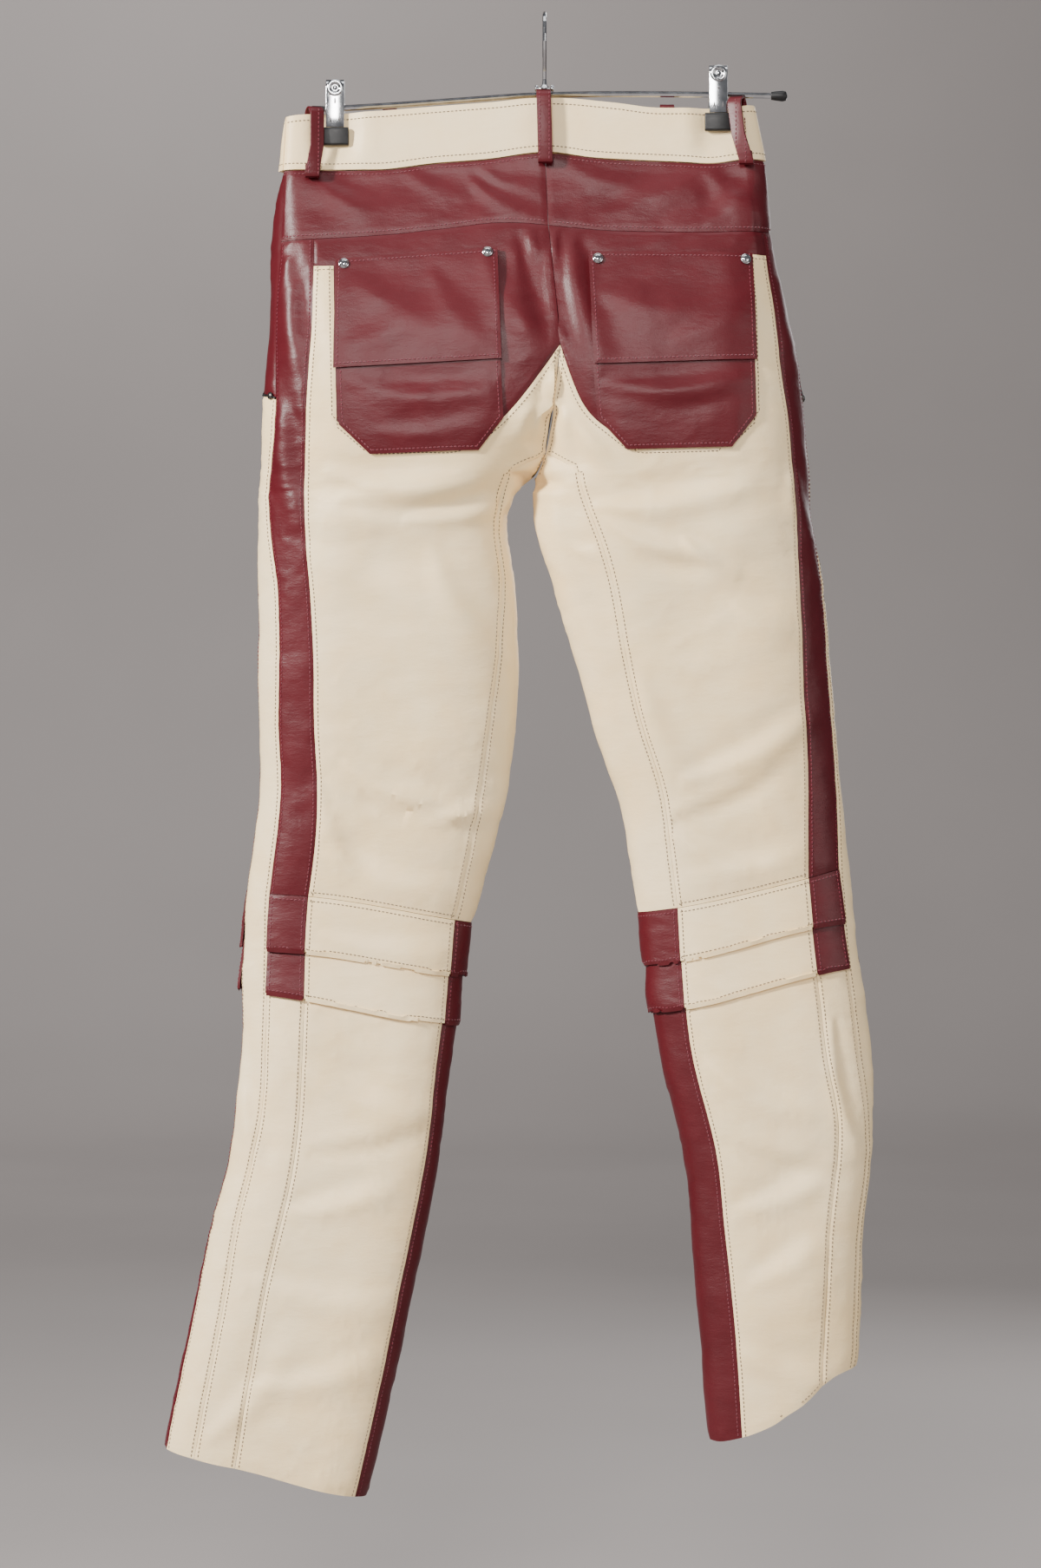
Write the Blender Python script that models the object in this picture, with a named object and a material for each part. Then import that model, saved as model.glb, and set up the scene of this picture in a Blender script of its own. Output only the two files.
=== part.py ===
# Leather pants hung from a clip hanger, with their back towards -Y.
# Sizes are in millimetres. A drop is a distance below the inner top of the hook, which is the origin.
# A turn runs once round a leg: 0 at its outer edge, 0 to 3 over the back, 3 at its inner edge,
# and 3 to 6 over the front.
import math
from bisect import bisect_right

import bpy
import numpy as np

MM = 0.001

# Leather
WALL = 1.8
SEAM_GAP = 0.3
BAND_GAP = 1.0
CROTCH_PARTING = 0.5
BAND_WALL = 2.6
BAND_PROUD = 0.7
POCKET_WALL = 1.5
POCKET_GAP = 0.9
LAP = 5.0
LAP_LIFT = 2.7

# Strips of leather, in widths round the leg
STRIPE_WIDTH = 27.0
LOOP_WIDTH = 11.0
LOOP_WALL = 1.6
LOOP_STAND_OFF = 6.5
LOOP_TUCK = 8.0

# Hardware
RIVET_RADIUS = 4.0
RIVET_HEIGHT = 2.2
HIP_RIVET_RADIUS = 2.9
BUTTON_RADIUS = 8.5
BUTTON_HEIGHT = 3.0
BAR_RADIUS = 2.3
WIRE_RADIUS = 1.5
HOOK_RADIUS = 18.5
CLIP_WIDTH = 14.0
CLIP_RADIUS = 6.5
TIP_SIZE = (21.0, 4.0, 14.0)
CLIP_AT = {"left": (-159.0, 55.0), "right": (132.0, 44.0)}
CLIP_TO_TIP = 31.0
CLIP_PLAY = 0.8
PINCH_WIDTH = 17.0
PINCH = 0.6
GRIP_DEPTH = 45.0
PINCH_FADE = 14.0

SAME_PLACE = 0.1

CROTCH_DROP = 355.0
FORK_DROP = 334.0

LEATHER_CREAM = ((0.86, 0.76, 0.60), 0.45, 0.0)
LEATHER_BURGUNDY = ((0.20, 0.018, 0.035), 0.38, 0.0)
STEEL = ((0.75, 0.75, 0.76), 0.15, 1.0)
RUBBER = ((0.02, 0.02, 0.02), 0.6, 0.0)

# The legs' edges as seen from behind: above the crotch the inner edge is the centre seam
EDGE_COLUMNS = ("drop", "outer", "inner")
EDGES = {
    "left": (
        (50, -196, -1),
        (78, -198, 0),
        (119, -202, 1),
        (145, -205, 2),
        (164, -207, 3),
        (192, -208, 6),
        (223, -208, 9),
        (255, -209, 11.5),
        (282, -213, 9),
        (308, -214, 5),
        (331, -215, 1.5),
        (345, -216, -4),
        (355, -216, -10),
        (371, -217, -27),
        (386, -217, -29),
        (412, -218, -26),
        (438, -218, -22),
        (477, -218, -20),
        (516, -219, -20),
        (556, -217, -24),
        (595, -217, -29),
        (634, -224, -39),
        (673, -228, -52),
        (712, -230, -59),
        (732, -232, -63),
        (771, -229, -68),
        (810, -235, -73),
        (849, -236, -78),
        (888, -246, -83),
        (927, -256, -91),
        (966, -264, -99),
        (1005, -273, -107),
        (1045, -281, -116),
        (1084, -290, -125),
        (1140, -302, -139),
    ),
    "right": (
        (50, 156, -1),
        (78, 161, 0),
        (119, 169, 1),
        (145, 171, 2),
        (164, 172, 3),
        (192, 176, 6),
        (223, 183, 9),
        (255, 190, 11.5),
        (282, 195, 9),
        (308, 197, 5),
        (331, 199, 1.5),
        (345, 201, -4),
        (355, 202, -10),
        (371, 202, -8),
        (386, 203, -8),
        (412, 208, -1),
        (438, 213, 8),
        (477, 216, 19),
        (516, 220, 31),
        (556, 223, 41),
        (595, 227, 57),
        (634, 231, 64),
        (673, 235, 68),
        (712, 239, 76),
        (732, 242, 78),
        (771, 247, 83),
        (810, 250, 93),
        (849, 250, 102),
        (888, 246, 109),
        (927, 242, 111),
        (966, 241, 115),
        (1005, 239, 118),
        (1045, 236, 121),
        (1140, 230, 127),
    ),
}

# Depths of the back and the front from the middle plane, the plane's place,
# the roundness of the edges, and how far a half reaches past the centre in roundnesses
FORM_COLUMNS = ("drop", "back", "front", "middle", "round", "past")
FORM = (
    (50, 8.5, 8.5, 0, 10, 1.0),
    (119, 12, 11, 0, 15, 1.0),
    (164, 22, 18, 0, 30, 1.0),
    (192, 29, 23, -1, 42, 1.0),
    (223, 36, 28, -2, 54, 0.95),
    (255, 41, 32, -3, 63, 0.75),
    (282, 44, 34, -3, 70, 0.5),
    (308, 45, 36, -3, 74, 0.28),
    (331, 45, 37, -2, 76, 0.12),
    (345, 44, 37, -1, 76, 0.04),
    (355, 43, 37, 0, 76, 0.0),
    (386, 42, 37, 0, 76, 0.0),
    (477, 38, 35, 3, 72, 0.0),
    (556, 34, 33, 6, 68, 0.0),
    (634, 30, 32, 8, 62, 0.0),
    (712, 27, 31, 8, 58, 0.0),
    (810, 26, 27, 4, 55, 0.0),
    (927, 24, 25, 0, 52, 0.0),
    (1045, 23, 24, -4, 50, 0.0),
    (1140, 22, 23, -6, 48, 0.0),
)

# Long seams, as places seen from behind
BACK_SEAM = {
    "left": (
        (50, -176), (119, -176), (184, -174), (223, -175), (321, -180), (360, -181), (399, -180),
        (438, -177), (477, -175), (516, -174), (556, -174), (595, -171), (634, -174), (673, -179),
        (712, -181), (771, -182), (810, -185), (849, -186), (888, -193), (927, -202), (966, -211),
        (1005, -218), (1045, -225), (1084, -231), (1140, -240),
    ),
    "right": (
        (50, 152), (119, 160), (184, 168), (234, 174), (278, 179), (308, 184), (360, 188),
        (399, 191), (438, 193), (477, 195), (516, 196), (556, 199), (595, 200), (634, 199),
        (673, 201), (712, 204), (771, 211), (810, 216), (849, 223), (888, 219), (927, 215),
        (966, 213), (1005, 211), (1045, 209), (1140, 205),
    ),
}
SIDE_SEAM = (
    (50, -194), (119, -198), (181, -200), (243, -203), (289, -203), (333, -205), (367, -209),
    (399, -207), (438, -202), (477, -201), (516, -201), (556, -202), (595, -199), (634, -205),
    (673, -209), (712, -210), (771, -211), (810, -213), (849, -216), (888, -227), (927, -235),
    (966, -241), (1005, -248), (1045, -256), (1084, -263), (1140, -274),
)
INNER_SEAM = {
    "left": (
        (336, -10), (339, -19), (350, -28), (362, -33), (379, -37), (399, -36), (418, -33),
        (438, -31), (477, -34), (516, -38), (556, -44), (595, -49), (634, -56), (673, -66),
        (712, -71), (771, -78), (810, -83), (849, -87), (888, -93), (927, -101), (966, -109),
        (1005, -117), (1045, -125), (1084, -134), (1140, -147),
    ),
    "right": (
        (337, 11), (341, 20), (347, 25), (357, 27), (370, 30), (399, 41), (418, 48),
        (438, 52), (477, 59), (516, 67), (556, 78), (595, 91), (634, 95), (673, 100),
        (712, 103), (771, 108), (810, 115), (849, 128), (888, 133), (927, 136), (966, 141),
        (1005, 144), (1045, 147), (1140, 152),
    ),
}
POCKET_LINE = {
    "left": ((50, -159), (184, -159), (234, -158), (314, -156), (671, -150), (1140, -215)),
    "right": ((50, 137), (184, 154), (234, 156), (314, 158), (671, 180), (1140, 185)),
}
STRIP_WIDTH = ((110, 62), (164, 52), (230, 40), (300, 32), (355, 28), (1140, 26))

# Cross seams on the back, as drops by place
TOP_EDGE = (
    (-200, 78), (-182, 76), (-136, 74), (-83, 70), (-38, 66.5), (-5, 63.5), (8, 63.5),
    (52, 67), (88, 71), (123, 71), (160, 68.5),
)
BAND_SEAM = (
    (-203, 119), (-129, 119), (-83, 114), (-44, 111), (-8, 106), (1, 105.5), (40, 110),
    (102, 113), (125, 114), (154, 111), (170, 111),
)
YOKE_SEAM = (
    (-207, 174), (-129, 170), (-72, 164), (-30, 159.5), (0, 161.5), (52, 166), (109, 167), (173, 166),
)
STRIP_TOP = ((-208, 194), (-160, 193.5), (0, 186), (150, 184), (176, 184))
SEAT_SEAM = {
    "left": (
        (-216, 288), (-180, 302), (-156, 312), (-130, 334), (-53, 331), (-30, 306), (-20, 296),
        (-15, 292), (-11, 284), (-6.5, 269), (-1, 262), (11.5, 254.5),
    ),
    "right": (
        (11.5, 254.5), (18, 262), (20, 268), (19.6, 282), (27, 297), (37, 308), (62, 333),
        (138, 331), (158, 308), (180, 300), (197, 288),
    ),
}
# The mouth of the hip pocket and the row that carries on from it, by share of the way to the centre
MOUTH_DROP = 255.0
MOUTH = ((0, 286), (0.05, 262), (0.12, 236), (0.25, 218), (0.6, 236), (1.0, 260))
FORK_LEVEL = ((0, 334), (12, 334.5), (30, 338), (60, 350), (200, 358))
KNEE_TOP = {
    "left": ((-230, 664), (-208, 667), (-177, 669), (-68, 687), (-52, 690)),
    "right": ((66, 682), (98, 678), (200, 655), (226, 648), (240, 645)),
}
KNEE_MIDDLE = {
    "left": ((-232, 702), (-209, 704), (-180, 706), (-72, 723), (-60, 724)),
    "right": ((75, 717), (102, 713), (203, 687), (230, 683), (245, 680)),
}
KNEE_BOTTOM = {
    "left": ((-234, 735), (-211, 737), (-183, 741), (-78, 760), (-66, 761)),
    "right": ((80, 752), (107, 748), (206, 722), (232, 717), (250, 714)),
}
HEM = {
    "left": (
        (-292, 1085), (-281, 1089), (-265, 1093), (-249, 1097), (-233, 1100), (-141, 1123), (-130, 1124),
    ),
    "right": (
        (121, 1080), (132, 1081), (149, 1077), (160, 1073), (173, 1067), (183, 1060), (198, 1050),
        (213, 1035), (226, 1029), (238, 1025),
    ),
}

# Pockets, as outlines seen from behind
POCKET_COLUMNS = ("drop", "left", "right")
POCKETS = {
    "left": {
        "sides": ((184, -157, -36), (266, -156, -33), (314, -155, -31), (337, -131, -53)),
        "top": ((-160, 190), (-35, 181)),
        "bottom": ((-160, 338), (-30, 333)),
        "rows": (0.0, 0.3, 0.6, 0.845, 1.0),
        "flap": ((-157.5, 190), (-35.5, 181), (-158, 273), (-32, 266)),
        "rivets": ((-151, 194), (-43, 185)),
    },
    "right": {
        "sides": ((184, 33, 154), (266, 36, 157), (308, 38, 158), (334, 62, 138)),
        "top": ((33, 184), (157, 185)),
        "bottom": ((37, 334), (158, 331)),
        "rows": (0.0, 0.3, 0.6, 0.84, 1.0),
        "flap": ((32.5, 184), (155, 185), (37, 270), (158, 266)),
        "rivets": ((40, 190), (150, 190)),
    },
}

# Largest folds, as soft ridges (or troughs where high is negative) on the back or the front
FOLD_COLUMNS = ("leg", "face", "x0", "drop0", "x1", "drop1", "wide", "high")
FOLDS = (
    ("left", "back", -175, 395, -70, 352, 26, 4.0),
    ("left", "back", -150, 440, -60, 400, 24, -3.5),
    ("left", "back", -140, 620, -60, 590, 24, -3.5),
    ("left", "back", -200, 830, -130, 800, 30, -4.0),
    ("left", "back", -210, 930, -130, 960, 30, 3.0),
    ("right", "back", 60, 375, 150, 410, 26, 4.0),
    ("right", "back", 80, 470, 170, 430, 26, -3.5),
    ("right", "back", 110, 610, 190, 585, 24, -3.5),
    ("right", "back", 150, 900, 225, 850, 30, -4.0),
    ("right", "back", 140, 990, 220, 960, 30, 3.0),
    ("left", "front", -150, 420, -60, 390, 28, -4.0),
    ("left", "front", -190, 640, -90, 655, 28, 3.5),
    ("left", "front", -200, 860, -110, 830, 30, -3.5),
    ("right", "front", 60, 395, 150, 430, 28, -4.0),
    ("right", "front", 100, 650, 200, 630, 28, 3.5),
    ("right", "front", 130, 860, 220, 830, 30, -3.5),
)


# Smooth lines through short tables
class Line:
    def __init__(self, rows, column=1):
        self.at = [float(row[0]) for row in rows]
        self.value = [float(row[column]) for row in rows]
        runs = [b - a for a, b in zip(self.at, self.at[1:])]
        rises = [(b - a) / run for a, b, run in zip(self.value, self.value[1:], runs)]
        self.slope = [rises[0]]
        for before, after in zip(rises, rises[1:]):
            level = before * after <= 0
            self.slope.append(0.0 if level else 2 * before * after / (before + after))
        self.slope.append(rises[-1])

    def __call__(self, at):
        if at <= self.at[0]:
            return self.value[0] + self.slope[0] * (at - self.at[0])
        if at >= self.at[-1]:
            return self.value[-1] + self.slope[-1] * (at - self.at[-1])
        i = bisect_right(self.at, at) - 1
        run = self.at[i + 1] - self.at[i]
        t = (at - self.at[i]) / run
        rise = self.value[i + 1] - self.value[i]
        bend0 = self.slope[i] * run - rise
        bend1 = rise - self.slope[i + 1] * run
        return self.value[i] + t * rise + t * (1 - t) * ((1 - t) * bend0 + t * bend1)


def straight(rows, column=1):
    at = [row[0] for row in rows]
    value = [row[column] for row in rows]
    return lambda place: float(np.interp(place, at, value))


def blend(a, b, share):
    return a + (b - a) * share


OUTER = {leg: Line(EDGES[leg], EDGE_COLUMNS.index("outer")) for leg in EDGES}
INNER = {leg: Line(EDGES[leg], EDGE_COLUMNS.index("inner")) for leg in EDGES}
FORM_LINES = {name: Line(FORM, i) for i, name in enumerate(FORM_COLUMNS) if i}
BACK_LINE = {leg: Line(BACK_SEAM[leg]) for leg in BACK_SEAM}
SIDE_LINE = Line(SIDE_SEAM)
STRIP_LINE = Line(STRIP_WIDTH)
POCKET_LINES = {leg: Line(POCKET_LINE[leg]) for leg in POCKET_LINE}
INNER_LINE = {leg: straight(((FORK_DROP, INNER[leg](FORK_DROP)),) + INNER_SEAM[leg]) for leg in INNER_SEAM}


# The cloth's form: flat faces with rounded edges, gathered in where the clips grip
def past_centre(drop):
    return min(1.0, max(0.0, FORM_LINES["past"](drop))) if drop < CROTCH_DROP else 0.0


def section(leg, drop):
    outer = OUTER[leg](drop)
    inner = INNER[leg](drop)
    round_off = FORM_LINES["round"](drop)
    toward = 1 if inner > outer else -1
    width = abs(inner - outer) + round_off * past_centre(drop)
    return outer, toward, width, round_off


def turn_at(leg, x, drop, face="back"):
    outer, toward, width, round_off = section(leg, drop)
    along = min(width, max(0.0, (x - outer) * toward))
    if along < round_off:
        turn = math.acos(1 - along / round_off) / (math.pi / 2)
    elif along < width - round_off:
        turn = 1 + (along - round_off) / (width - 2 * round_off)
    else:
        turn = 3 - math.acos(1 - (width - along) / round_off) / (math.pi / 2)
    return turn if face == "back" else 6 - turn


def fold_depth(leg, face, x, drop):
    depth = 0.0
    for row in FOLDS:
        fold = dict(zip(FOLD_COLUMNS, row))
        if fold["leg"] != leg or fold["face"] != face:
            continue
        run = (fold["x1"] - fold["x0"], fold["drop1"] - fold["drop0"])
        length = math.hypot(*run)
        along = ((x - fold["x0"]) * run[0] + (drop - fold["drop0"]) * run[1]) / length
        across = ((x - fold["x0"]) * run[1] - (drop - fold["drop0"]) * run[0]) / length
        share = min(1.0, max(0.0, along / length))
        beyond = along - share * length
        taper = math.sin(math.pi * (0.15 + 0.7 * share))
        depth += fold["high"] * taper * math.exp(-(across**2 + beyond**2) / (fold["wide"] / 2) ** 2)
    return depth


def pinch(x, drop):
    hold = 0.0
    for at, clip_drop in CLIP_AT.values():
        hold += math.exp(-(((x - at) / PINCH_WIDTH) ** 4)) * math.exp(
            -((max(0.0, drop - clip_drop - GRIP_DEPTH) / PINCH_FADE) ** 2)
        )
    return 1 - PINCH * hold


def across_section(leg, turn, drop):
    """The place seen from behind, and the share of the full depth, at a turn round the leg."""
    outer, toward, width, round_off = section(leg, drop)
    turn = turn % 6
    over = turn if turn <= 3 else 6 - turn
    if over < 1:
        lean = over * math.pi / 2
        along, out = round_off * (1 - math.cos(lean)), math.sin(lean)
    elif over < 2:
        along, out = blend(round_off, width - round_off, over - 1), 1.0
    else:
        lean = (3 - over) * math.pi / 2
        along, out = width - round_off * (1 - math.cos(lean)), math.sin(lean)
    return outer + toward * along, out


def blend_turns(leg, drop, first, second, share):
    """The turn a share of the way along the cloth between two turns."""
    width, round_off = section(leg, drop)[2:]
    depth = (FORM_LINES["back"](drop) + FORM_LINES["front"](drop)) / 2
    edge = math.hypot(round_off, depth) / math.sqrt(2) * math.pi / 2
    flat = width - 2 * round_off
    lengths = [0.0]
    for stretch in (edge, flat, edge, edge, flat, edge, edge, flat, edge, edge):
        lengths.append(lengths[-1] + stretch)
    turns = range(-3, 8)
    start, end = np.interp((first, second), turns, lengths)
    return float(np.interp(blend(start, end, share), lengths, turns))


def surface(leg, turn, drop):
    x, out = across_section(leg, turn, drop)
    face = "back" if turn % 6 <= 3 else "front"
    depth = FORM_LINES[face](drop) * pinch(x, drop) + fold_depth(leg, face, x, drop)
    side = -1 if face == "back" else 1
    return np.array([x, FORM_LINES["middle"](drop) + side * depth * out, -drop])


def outward(leg, turn, drop):
    step = 0.02
    around = surface(leg, turn + step, drop) - surface(leg, turn - step, drop)
    down = surface(leg, turn, drop + 2) - surface(leg, turn, drop - 2)
    normal = np.cross(around, down)
    if leg == "left":
        normal = -normal
    return normal / np.linalg.norm(normal)


# A walk round the leg by a width in millimetres
def walk(leg, turn, drop, distance):
    turns = np.linspace(-2.0, 3.0, 101)
    points = np.array([surface(leg, t, drop) for t in turns])
    steps = np.linalg.norm(np.diff(points, axis=0), axis=1)
    lengths = np.concatenate([[0.0], np.cumsum(steps)])
    start = np.interp(turn, turns, lengths)
    return float(np.interp(start + distance, lengths, turns))


# The long seams as turns
def back_seam(leg, drop):
    return turn_at(leg, BACK_LINE[leg](drop), drop)


SEAM_DROPS = range(50, 1151, 11)


def side_turns(leg):
    if leg == "left":
        return Line([(drop, turn_at(leg, SIDE_LINE(drop), drop)) for drop in SEAM_DROPS])
    return Line([(drop, walk(leg, back_seam(leg, drop), drop, -STRIPE_WIDTH)) for drop in SEAM_DROPS])


SIDE_TURNS = {leg: side_turns(leg) for leg in EDGES}
FRONT_TURNS = {
    leg: Line([(drop, walk(leg, SIDE_TURNS[leg](drop), drop, -STRIP_LINE(drop))) for drop in SEAM_DROPS])
    for leg in EDGES
}


def side_seam(leg, drop):
    return SIDE_TURNS[leg](drop)


def front_seam(leg, drop):
    return FRONT_TURNS[leg](drop) + 6


def front_seam_before(leg, drop):
    return FRONT_TURNS[leg](drop)


def pocket_seam(leg, drop):
    return turn_at(leg, POCKET_LINES[leg](drop), drop)


def inner_back(leg, drop):
    if drop <= FORK_DROP:
        return turn_at(leg, INNER[leg](drop), drop)
    return turn_at(leg, INNER_LINE[leg](drop), drop)


def inner_front(leg, drop):
    return 6 - inner_back(leg, drop)


# The cross seams as drops; x is the place seen from behind and turn says which face it is on
def shared(rows):
    line = Line(rows)
    return lambda leg, turn, x: line(x)


def own(rows):
    lines = {leg: Line(rows[leg]) for leg in rows}
    return lambda leg, turn, x: lines[leg](x)


def seat_level(leg, turn, x):
    if 0 <= turn % 6 <= 3:
        return SEAT_LINES[leg](x)
    # On the front this row carries the mouth of the hip pocket
    outer, centre = OUTER[leg](MOUTH_DROP), INNER[leg](MOUTH_DROP)
    return MOUTH_LINE(abs(x - outer) / abs(centre - outer))


def strip_level(leg, turn, x):
    drop = STRIP_TOP_LINE(x)
    return drop if 0 <= turn % 6 <= 3 else min(drop, 0.5 * (170 + seat_level(leg, turn, x)))


def yoke_level(leg, turn, x):
    drop = YOKE_LINE(x)
    return drop if 0 <= turn % 6 <= 3 else drop - 22 * min(1.0, abs(x - OUTER[leg](164)) / 60)


def fork_level(leg, turn, x):
    return FORK_LINE(abs(x - INNER[leg](FORK_DROP)))


def crotch_level(turn):
    lean = (3 - turn if turn <= 3 else turn - 3) * math.pi / 2
    past = 1 - math.cos(lean)
    low, high = 200.0, CROTCH_DROP
    for _ in range(40):
        middle = (low + high) / 2
        if past_centre(middle) > past:
            low = middle
        else:
            high = middle
    return (low + high) / 2


MOUTH_LINE = Line(MOUTH)
SEAT_LINES = {leg: straight(SEAT_SEAM[leg]) for leg in SEAT_SEAM}
STRIP_TOP_LINE = Line(STRIP_TOP)
YOKE_LINE = Line(YOKE_SEAM)
FORK_LINE = Line(FORK_LEVEL)
LEVELS = {
    "top": shared(TOP_EDGE),
    "band": shared(BAND_SEAM),
    "yoke": yoke_level,
    "strip": strip_level,
    "seat": seat_level,
    "fork": fork_level,
    "knee_top": own(KNEE_TOP),
    "knee_middle": own(KNEE_MIDDLE),
    "knee_bottom": own(KNEE_BOTTOM),
    "hem": own(HEM),
}
SEAMS = {
    "front0": front_seam_before,
    "side": side_seam,
    "back": back_seam,
    "pocket": pocket_seam,
    "inner_back": inner_back,
    "inner_front": inner_front,
    "front": front_seam,
}

# Cells across each stretch between two long seams, and down each stretch between two cross seams
ACROSS = {
    ("front0", "side"): 3,
    ("side", "back"): 3,
    ("back", "pocket"): 2,
    ("pocket", "inner_back"): 7,
    ("inner_back", "inner_front"): 5,
    ("inner_front", "front"): 8,
}
DOWN = {
    ("top", "band"): 2,
    ("band", "yoke"): 2,
    ("yoke", "strip"): 1,
    ("strip", "seat"): 4,
    ("seat", "fork"): 2,
    ("fork", "knee_top"): 10,
    ("knee_top", "knee_middle"): 2,
    ("knee_middle", "knee_bottom"): 2,
    ("knee_bottom", "hem"): 8,
}

# Below the fork the rows start close together and spread out
FORK_SPREAD = 1.5


def row_shares(levels):
    spread = FORK_SPREAD if levels[0] == "fork" else 1.0
    return [(j / DOWN[levels]) ** spread for j in range(DOWN[levels] + 1)]


def cloth_place(leg, seams, levels, a, b):
    """The turn and drop of a point a share a across and a share b down a stretch of cloth."""
    first, second = SEAMS[seams[0]], SEAMS[seams[1]]
    if seams == ("inner_back", "inner_front") and levels[0] == "fork":
        return inner_thigh_place(leg, levels, a, b)
    top, bottom = LEVELS[levels[0]], LEVELS[levels[1]]
    drop = blend(300.0, 400.0, b)
    for _ in range(60):
        turn = blend_turns(leg, drop, first(leg, drop), second(leg, drop), a)
        x = across_section(leg, turn, drop)[0]
        move = 0.7 * (blend(top(leg, turn, x), bottom(leg, turn, x), b) - drop)
        drop += move
        if abs(move) < 0.00001:
            break
    return blend_turns(leg, drop, first(leg, drop), second(leg, drop), a), drop


def inner_thigh_place(leg, levels, a, b):
    """The inner thigh hangs from the curve where the two legs meet."""
    fork_turn = inner_back(leg, FORK_DROP)
    crotch_turn = blend(fork_turn, 6 - fork_turn, a)
    crotch_drop = crotch_level(crotch_turn)
    if b == 0:
        return crotch_turn, crotch_drop
    edge_turn, edge_drop = cloth_place(leg, ("pocket", "inner_back"), levels, 1.0, b)
    bottom = LEVELS[levels[1]]
    edge_bottom = bottom(leg, edge_turn, across_section(leg, edge_turn, edge_drop)[0])
    level = edge_drop + (crotch_drop - FORK_DROP) * (1 - b) ** 2
    drop = level
    for _ in range(6):
        turn = blend_turns(leg, drop, inner_back(leg, drop), inner_front(leg, drop), a)
        x = across_section(leg, turn, drop)[0]
        drop = level + (bottom(leg, turn, x) - edge_bottom) * b
    return blend_turns(leg, drop, inner_back(leg, drop), inner_front(leg, drop), a), drop


class Sheet:
    """A piece of cloth: points with their outward directions and lifts, and four-sided cells."""

    def __init__(self):
        self.keys = {}
        self.points = []
        self.normals = []
        self.lifts = []
        self.cells = []

    def point(self, place, normal, lift=0.0):
        key = tuple(int(round(value / SAME_PLACE)) for value in place)
        for dx in (0, -1, 1):
            for dy in (0, -1, 1):
                for dz in (0, -1, 1):
                    near = (key[0] + dx, key[1] + dy, key[2] + dz)
                    if near in self.keys:
                        i = self.keys[near]
                        self.normals[i] = self.normals[i] + normal
                        return i
        self.keys[key] = len(self.points)
        self.points.append(np.array(place))
        self.normals.append(np.array(normal))
        self.lifts.append(lift)
        return self.keys[key]

    def grid(self, leg, rows):
        for upper, lower in zip(rows, rows[1:]):
            for cell in zip(upper, upper[1:], lower[1:], lower):
                self.cells.append(cell if leg == "left" else cell[::-1])

    def stretch(self, leg, seams, levels, lift=None, lap=0.0, fine=1):
        """Adds the cloth between two long seams and two cross seams."""
        across = ACROSS[seams] * fine
        rows = []
        for b in row_shares(levels):
            row = []
            for i in range(across + 1):
                turn, drop = cloth_place(leg, seams, levels, i / across, b)
                raised = lift(b) if lift else 0.0
                row.append(self.point(surface(leg, turn, drop), outward(leg, turn, drop), raised))
            rows.append(row)
        if lap:
            row = []
            for i in range(across + 1):
                turn, drop = cloth_place(leg, seams, levels, i / across, 1.0)
                drop += lap
                ends = [SEAMS[seam](leg, drop) for seam in seams]
                turn = blend_turns(leg, drop, ends[0], ends[1], i / across)
                row.append(self.point(surface(leg, turn, drop), outward(leg, turn, drop), lift(1.0)))
            rows.append(row)
        self.grid(leg, rows)

    def outline(self):
        count = {}
        for cell in self.cells:
            for a, b in zip(cell, cell[1:] + cell[:1]):
                count[(a, b)] = count.get((a, b), 0) + 1
        return [(a, b) for (a, b) in count if (b, a) not in count]

    def solid(self, wall, proud=0.0, gap=SEAM_GAP):
        """Points and faces of the closed wall, drawn in by half a seam gap along its outline."""
        normals = np.array([n / np.linalg.norm(n) for n in self.normals])
        points = np.array(self.points)
        centres = {}
        for cell in self.cells:
            for a, b in zip(cell, cell[1:] + cell[:1]):
                centres[(a, b)] = points[list(cell)].mean(axis=0)
        border = self.outline()
        inward = {}
        for a, b in border:
            along = points[b] - points[a]
            toward = np.cross(along, normals[a] + normals[b])
            toward /= np.linalg.norm(toward)
            if toward @ (centres[(a, b)] - points[a]) < 0:
                toward = -toward
            inward.setdefault(a, []).append(toward)
            inward.setdefault(b, []).append(toward)
        moved = points.copy()
        for i, ways in inward.items():
            if len(ways) == 2:
                share = max(0.3, 1 + ways[0] @ ways[1])
                moved[i] += (ways[0] + ways[1]) * (gap / 2) / share
            else:
                moved[i] += sum(ways) / len(ways) * gap / 2
        lifts = np.array(self.lifts)[:, None] + proud
        outer = moved + normals * lifts
        inner = moved + normals * (lifts - wall)
        count = len(points)
        faces = [cell for cell in self.cells]
        faces += [tuple(count + i for i in reversed(cell)) for cell in self.cells]
        faces += [(b, a, count + a, count + b) for a, b in border]
        return np.concatenate([outer, inner]), faces


# Objects and their materials
def material(name, finish):
    colour, roughness, metallic = finish
    made = bpy.data.materials.new(name)
    made.use_nodes = True
    shader = made.node_tree.nodes["Principled BSDF"]
    shader.inputs["Base Color"].default_value = (*colour, 1)
    shader.inputs["Roughness"].default_value = roughness
    shader.inputs["Metallic"].default_value = metallic
    return made


def volume(points, faces):
    total = 0.0
    for face in faces:
        for b, c in zip(face[1:], face[2:]):
            total += points[face[0]] @ np.cross(points[b], points[c])
    return total / 6


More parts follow.
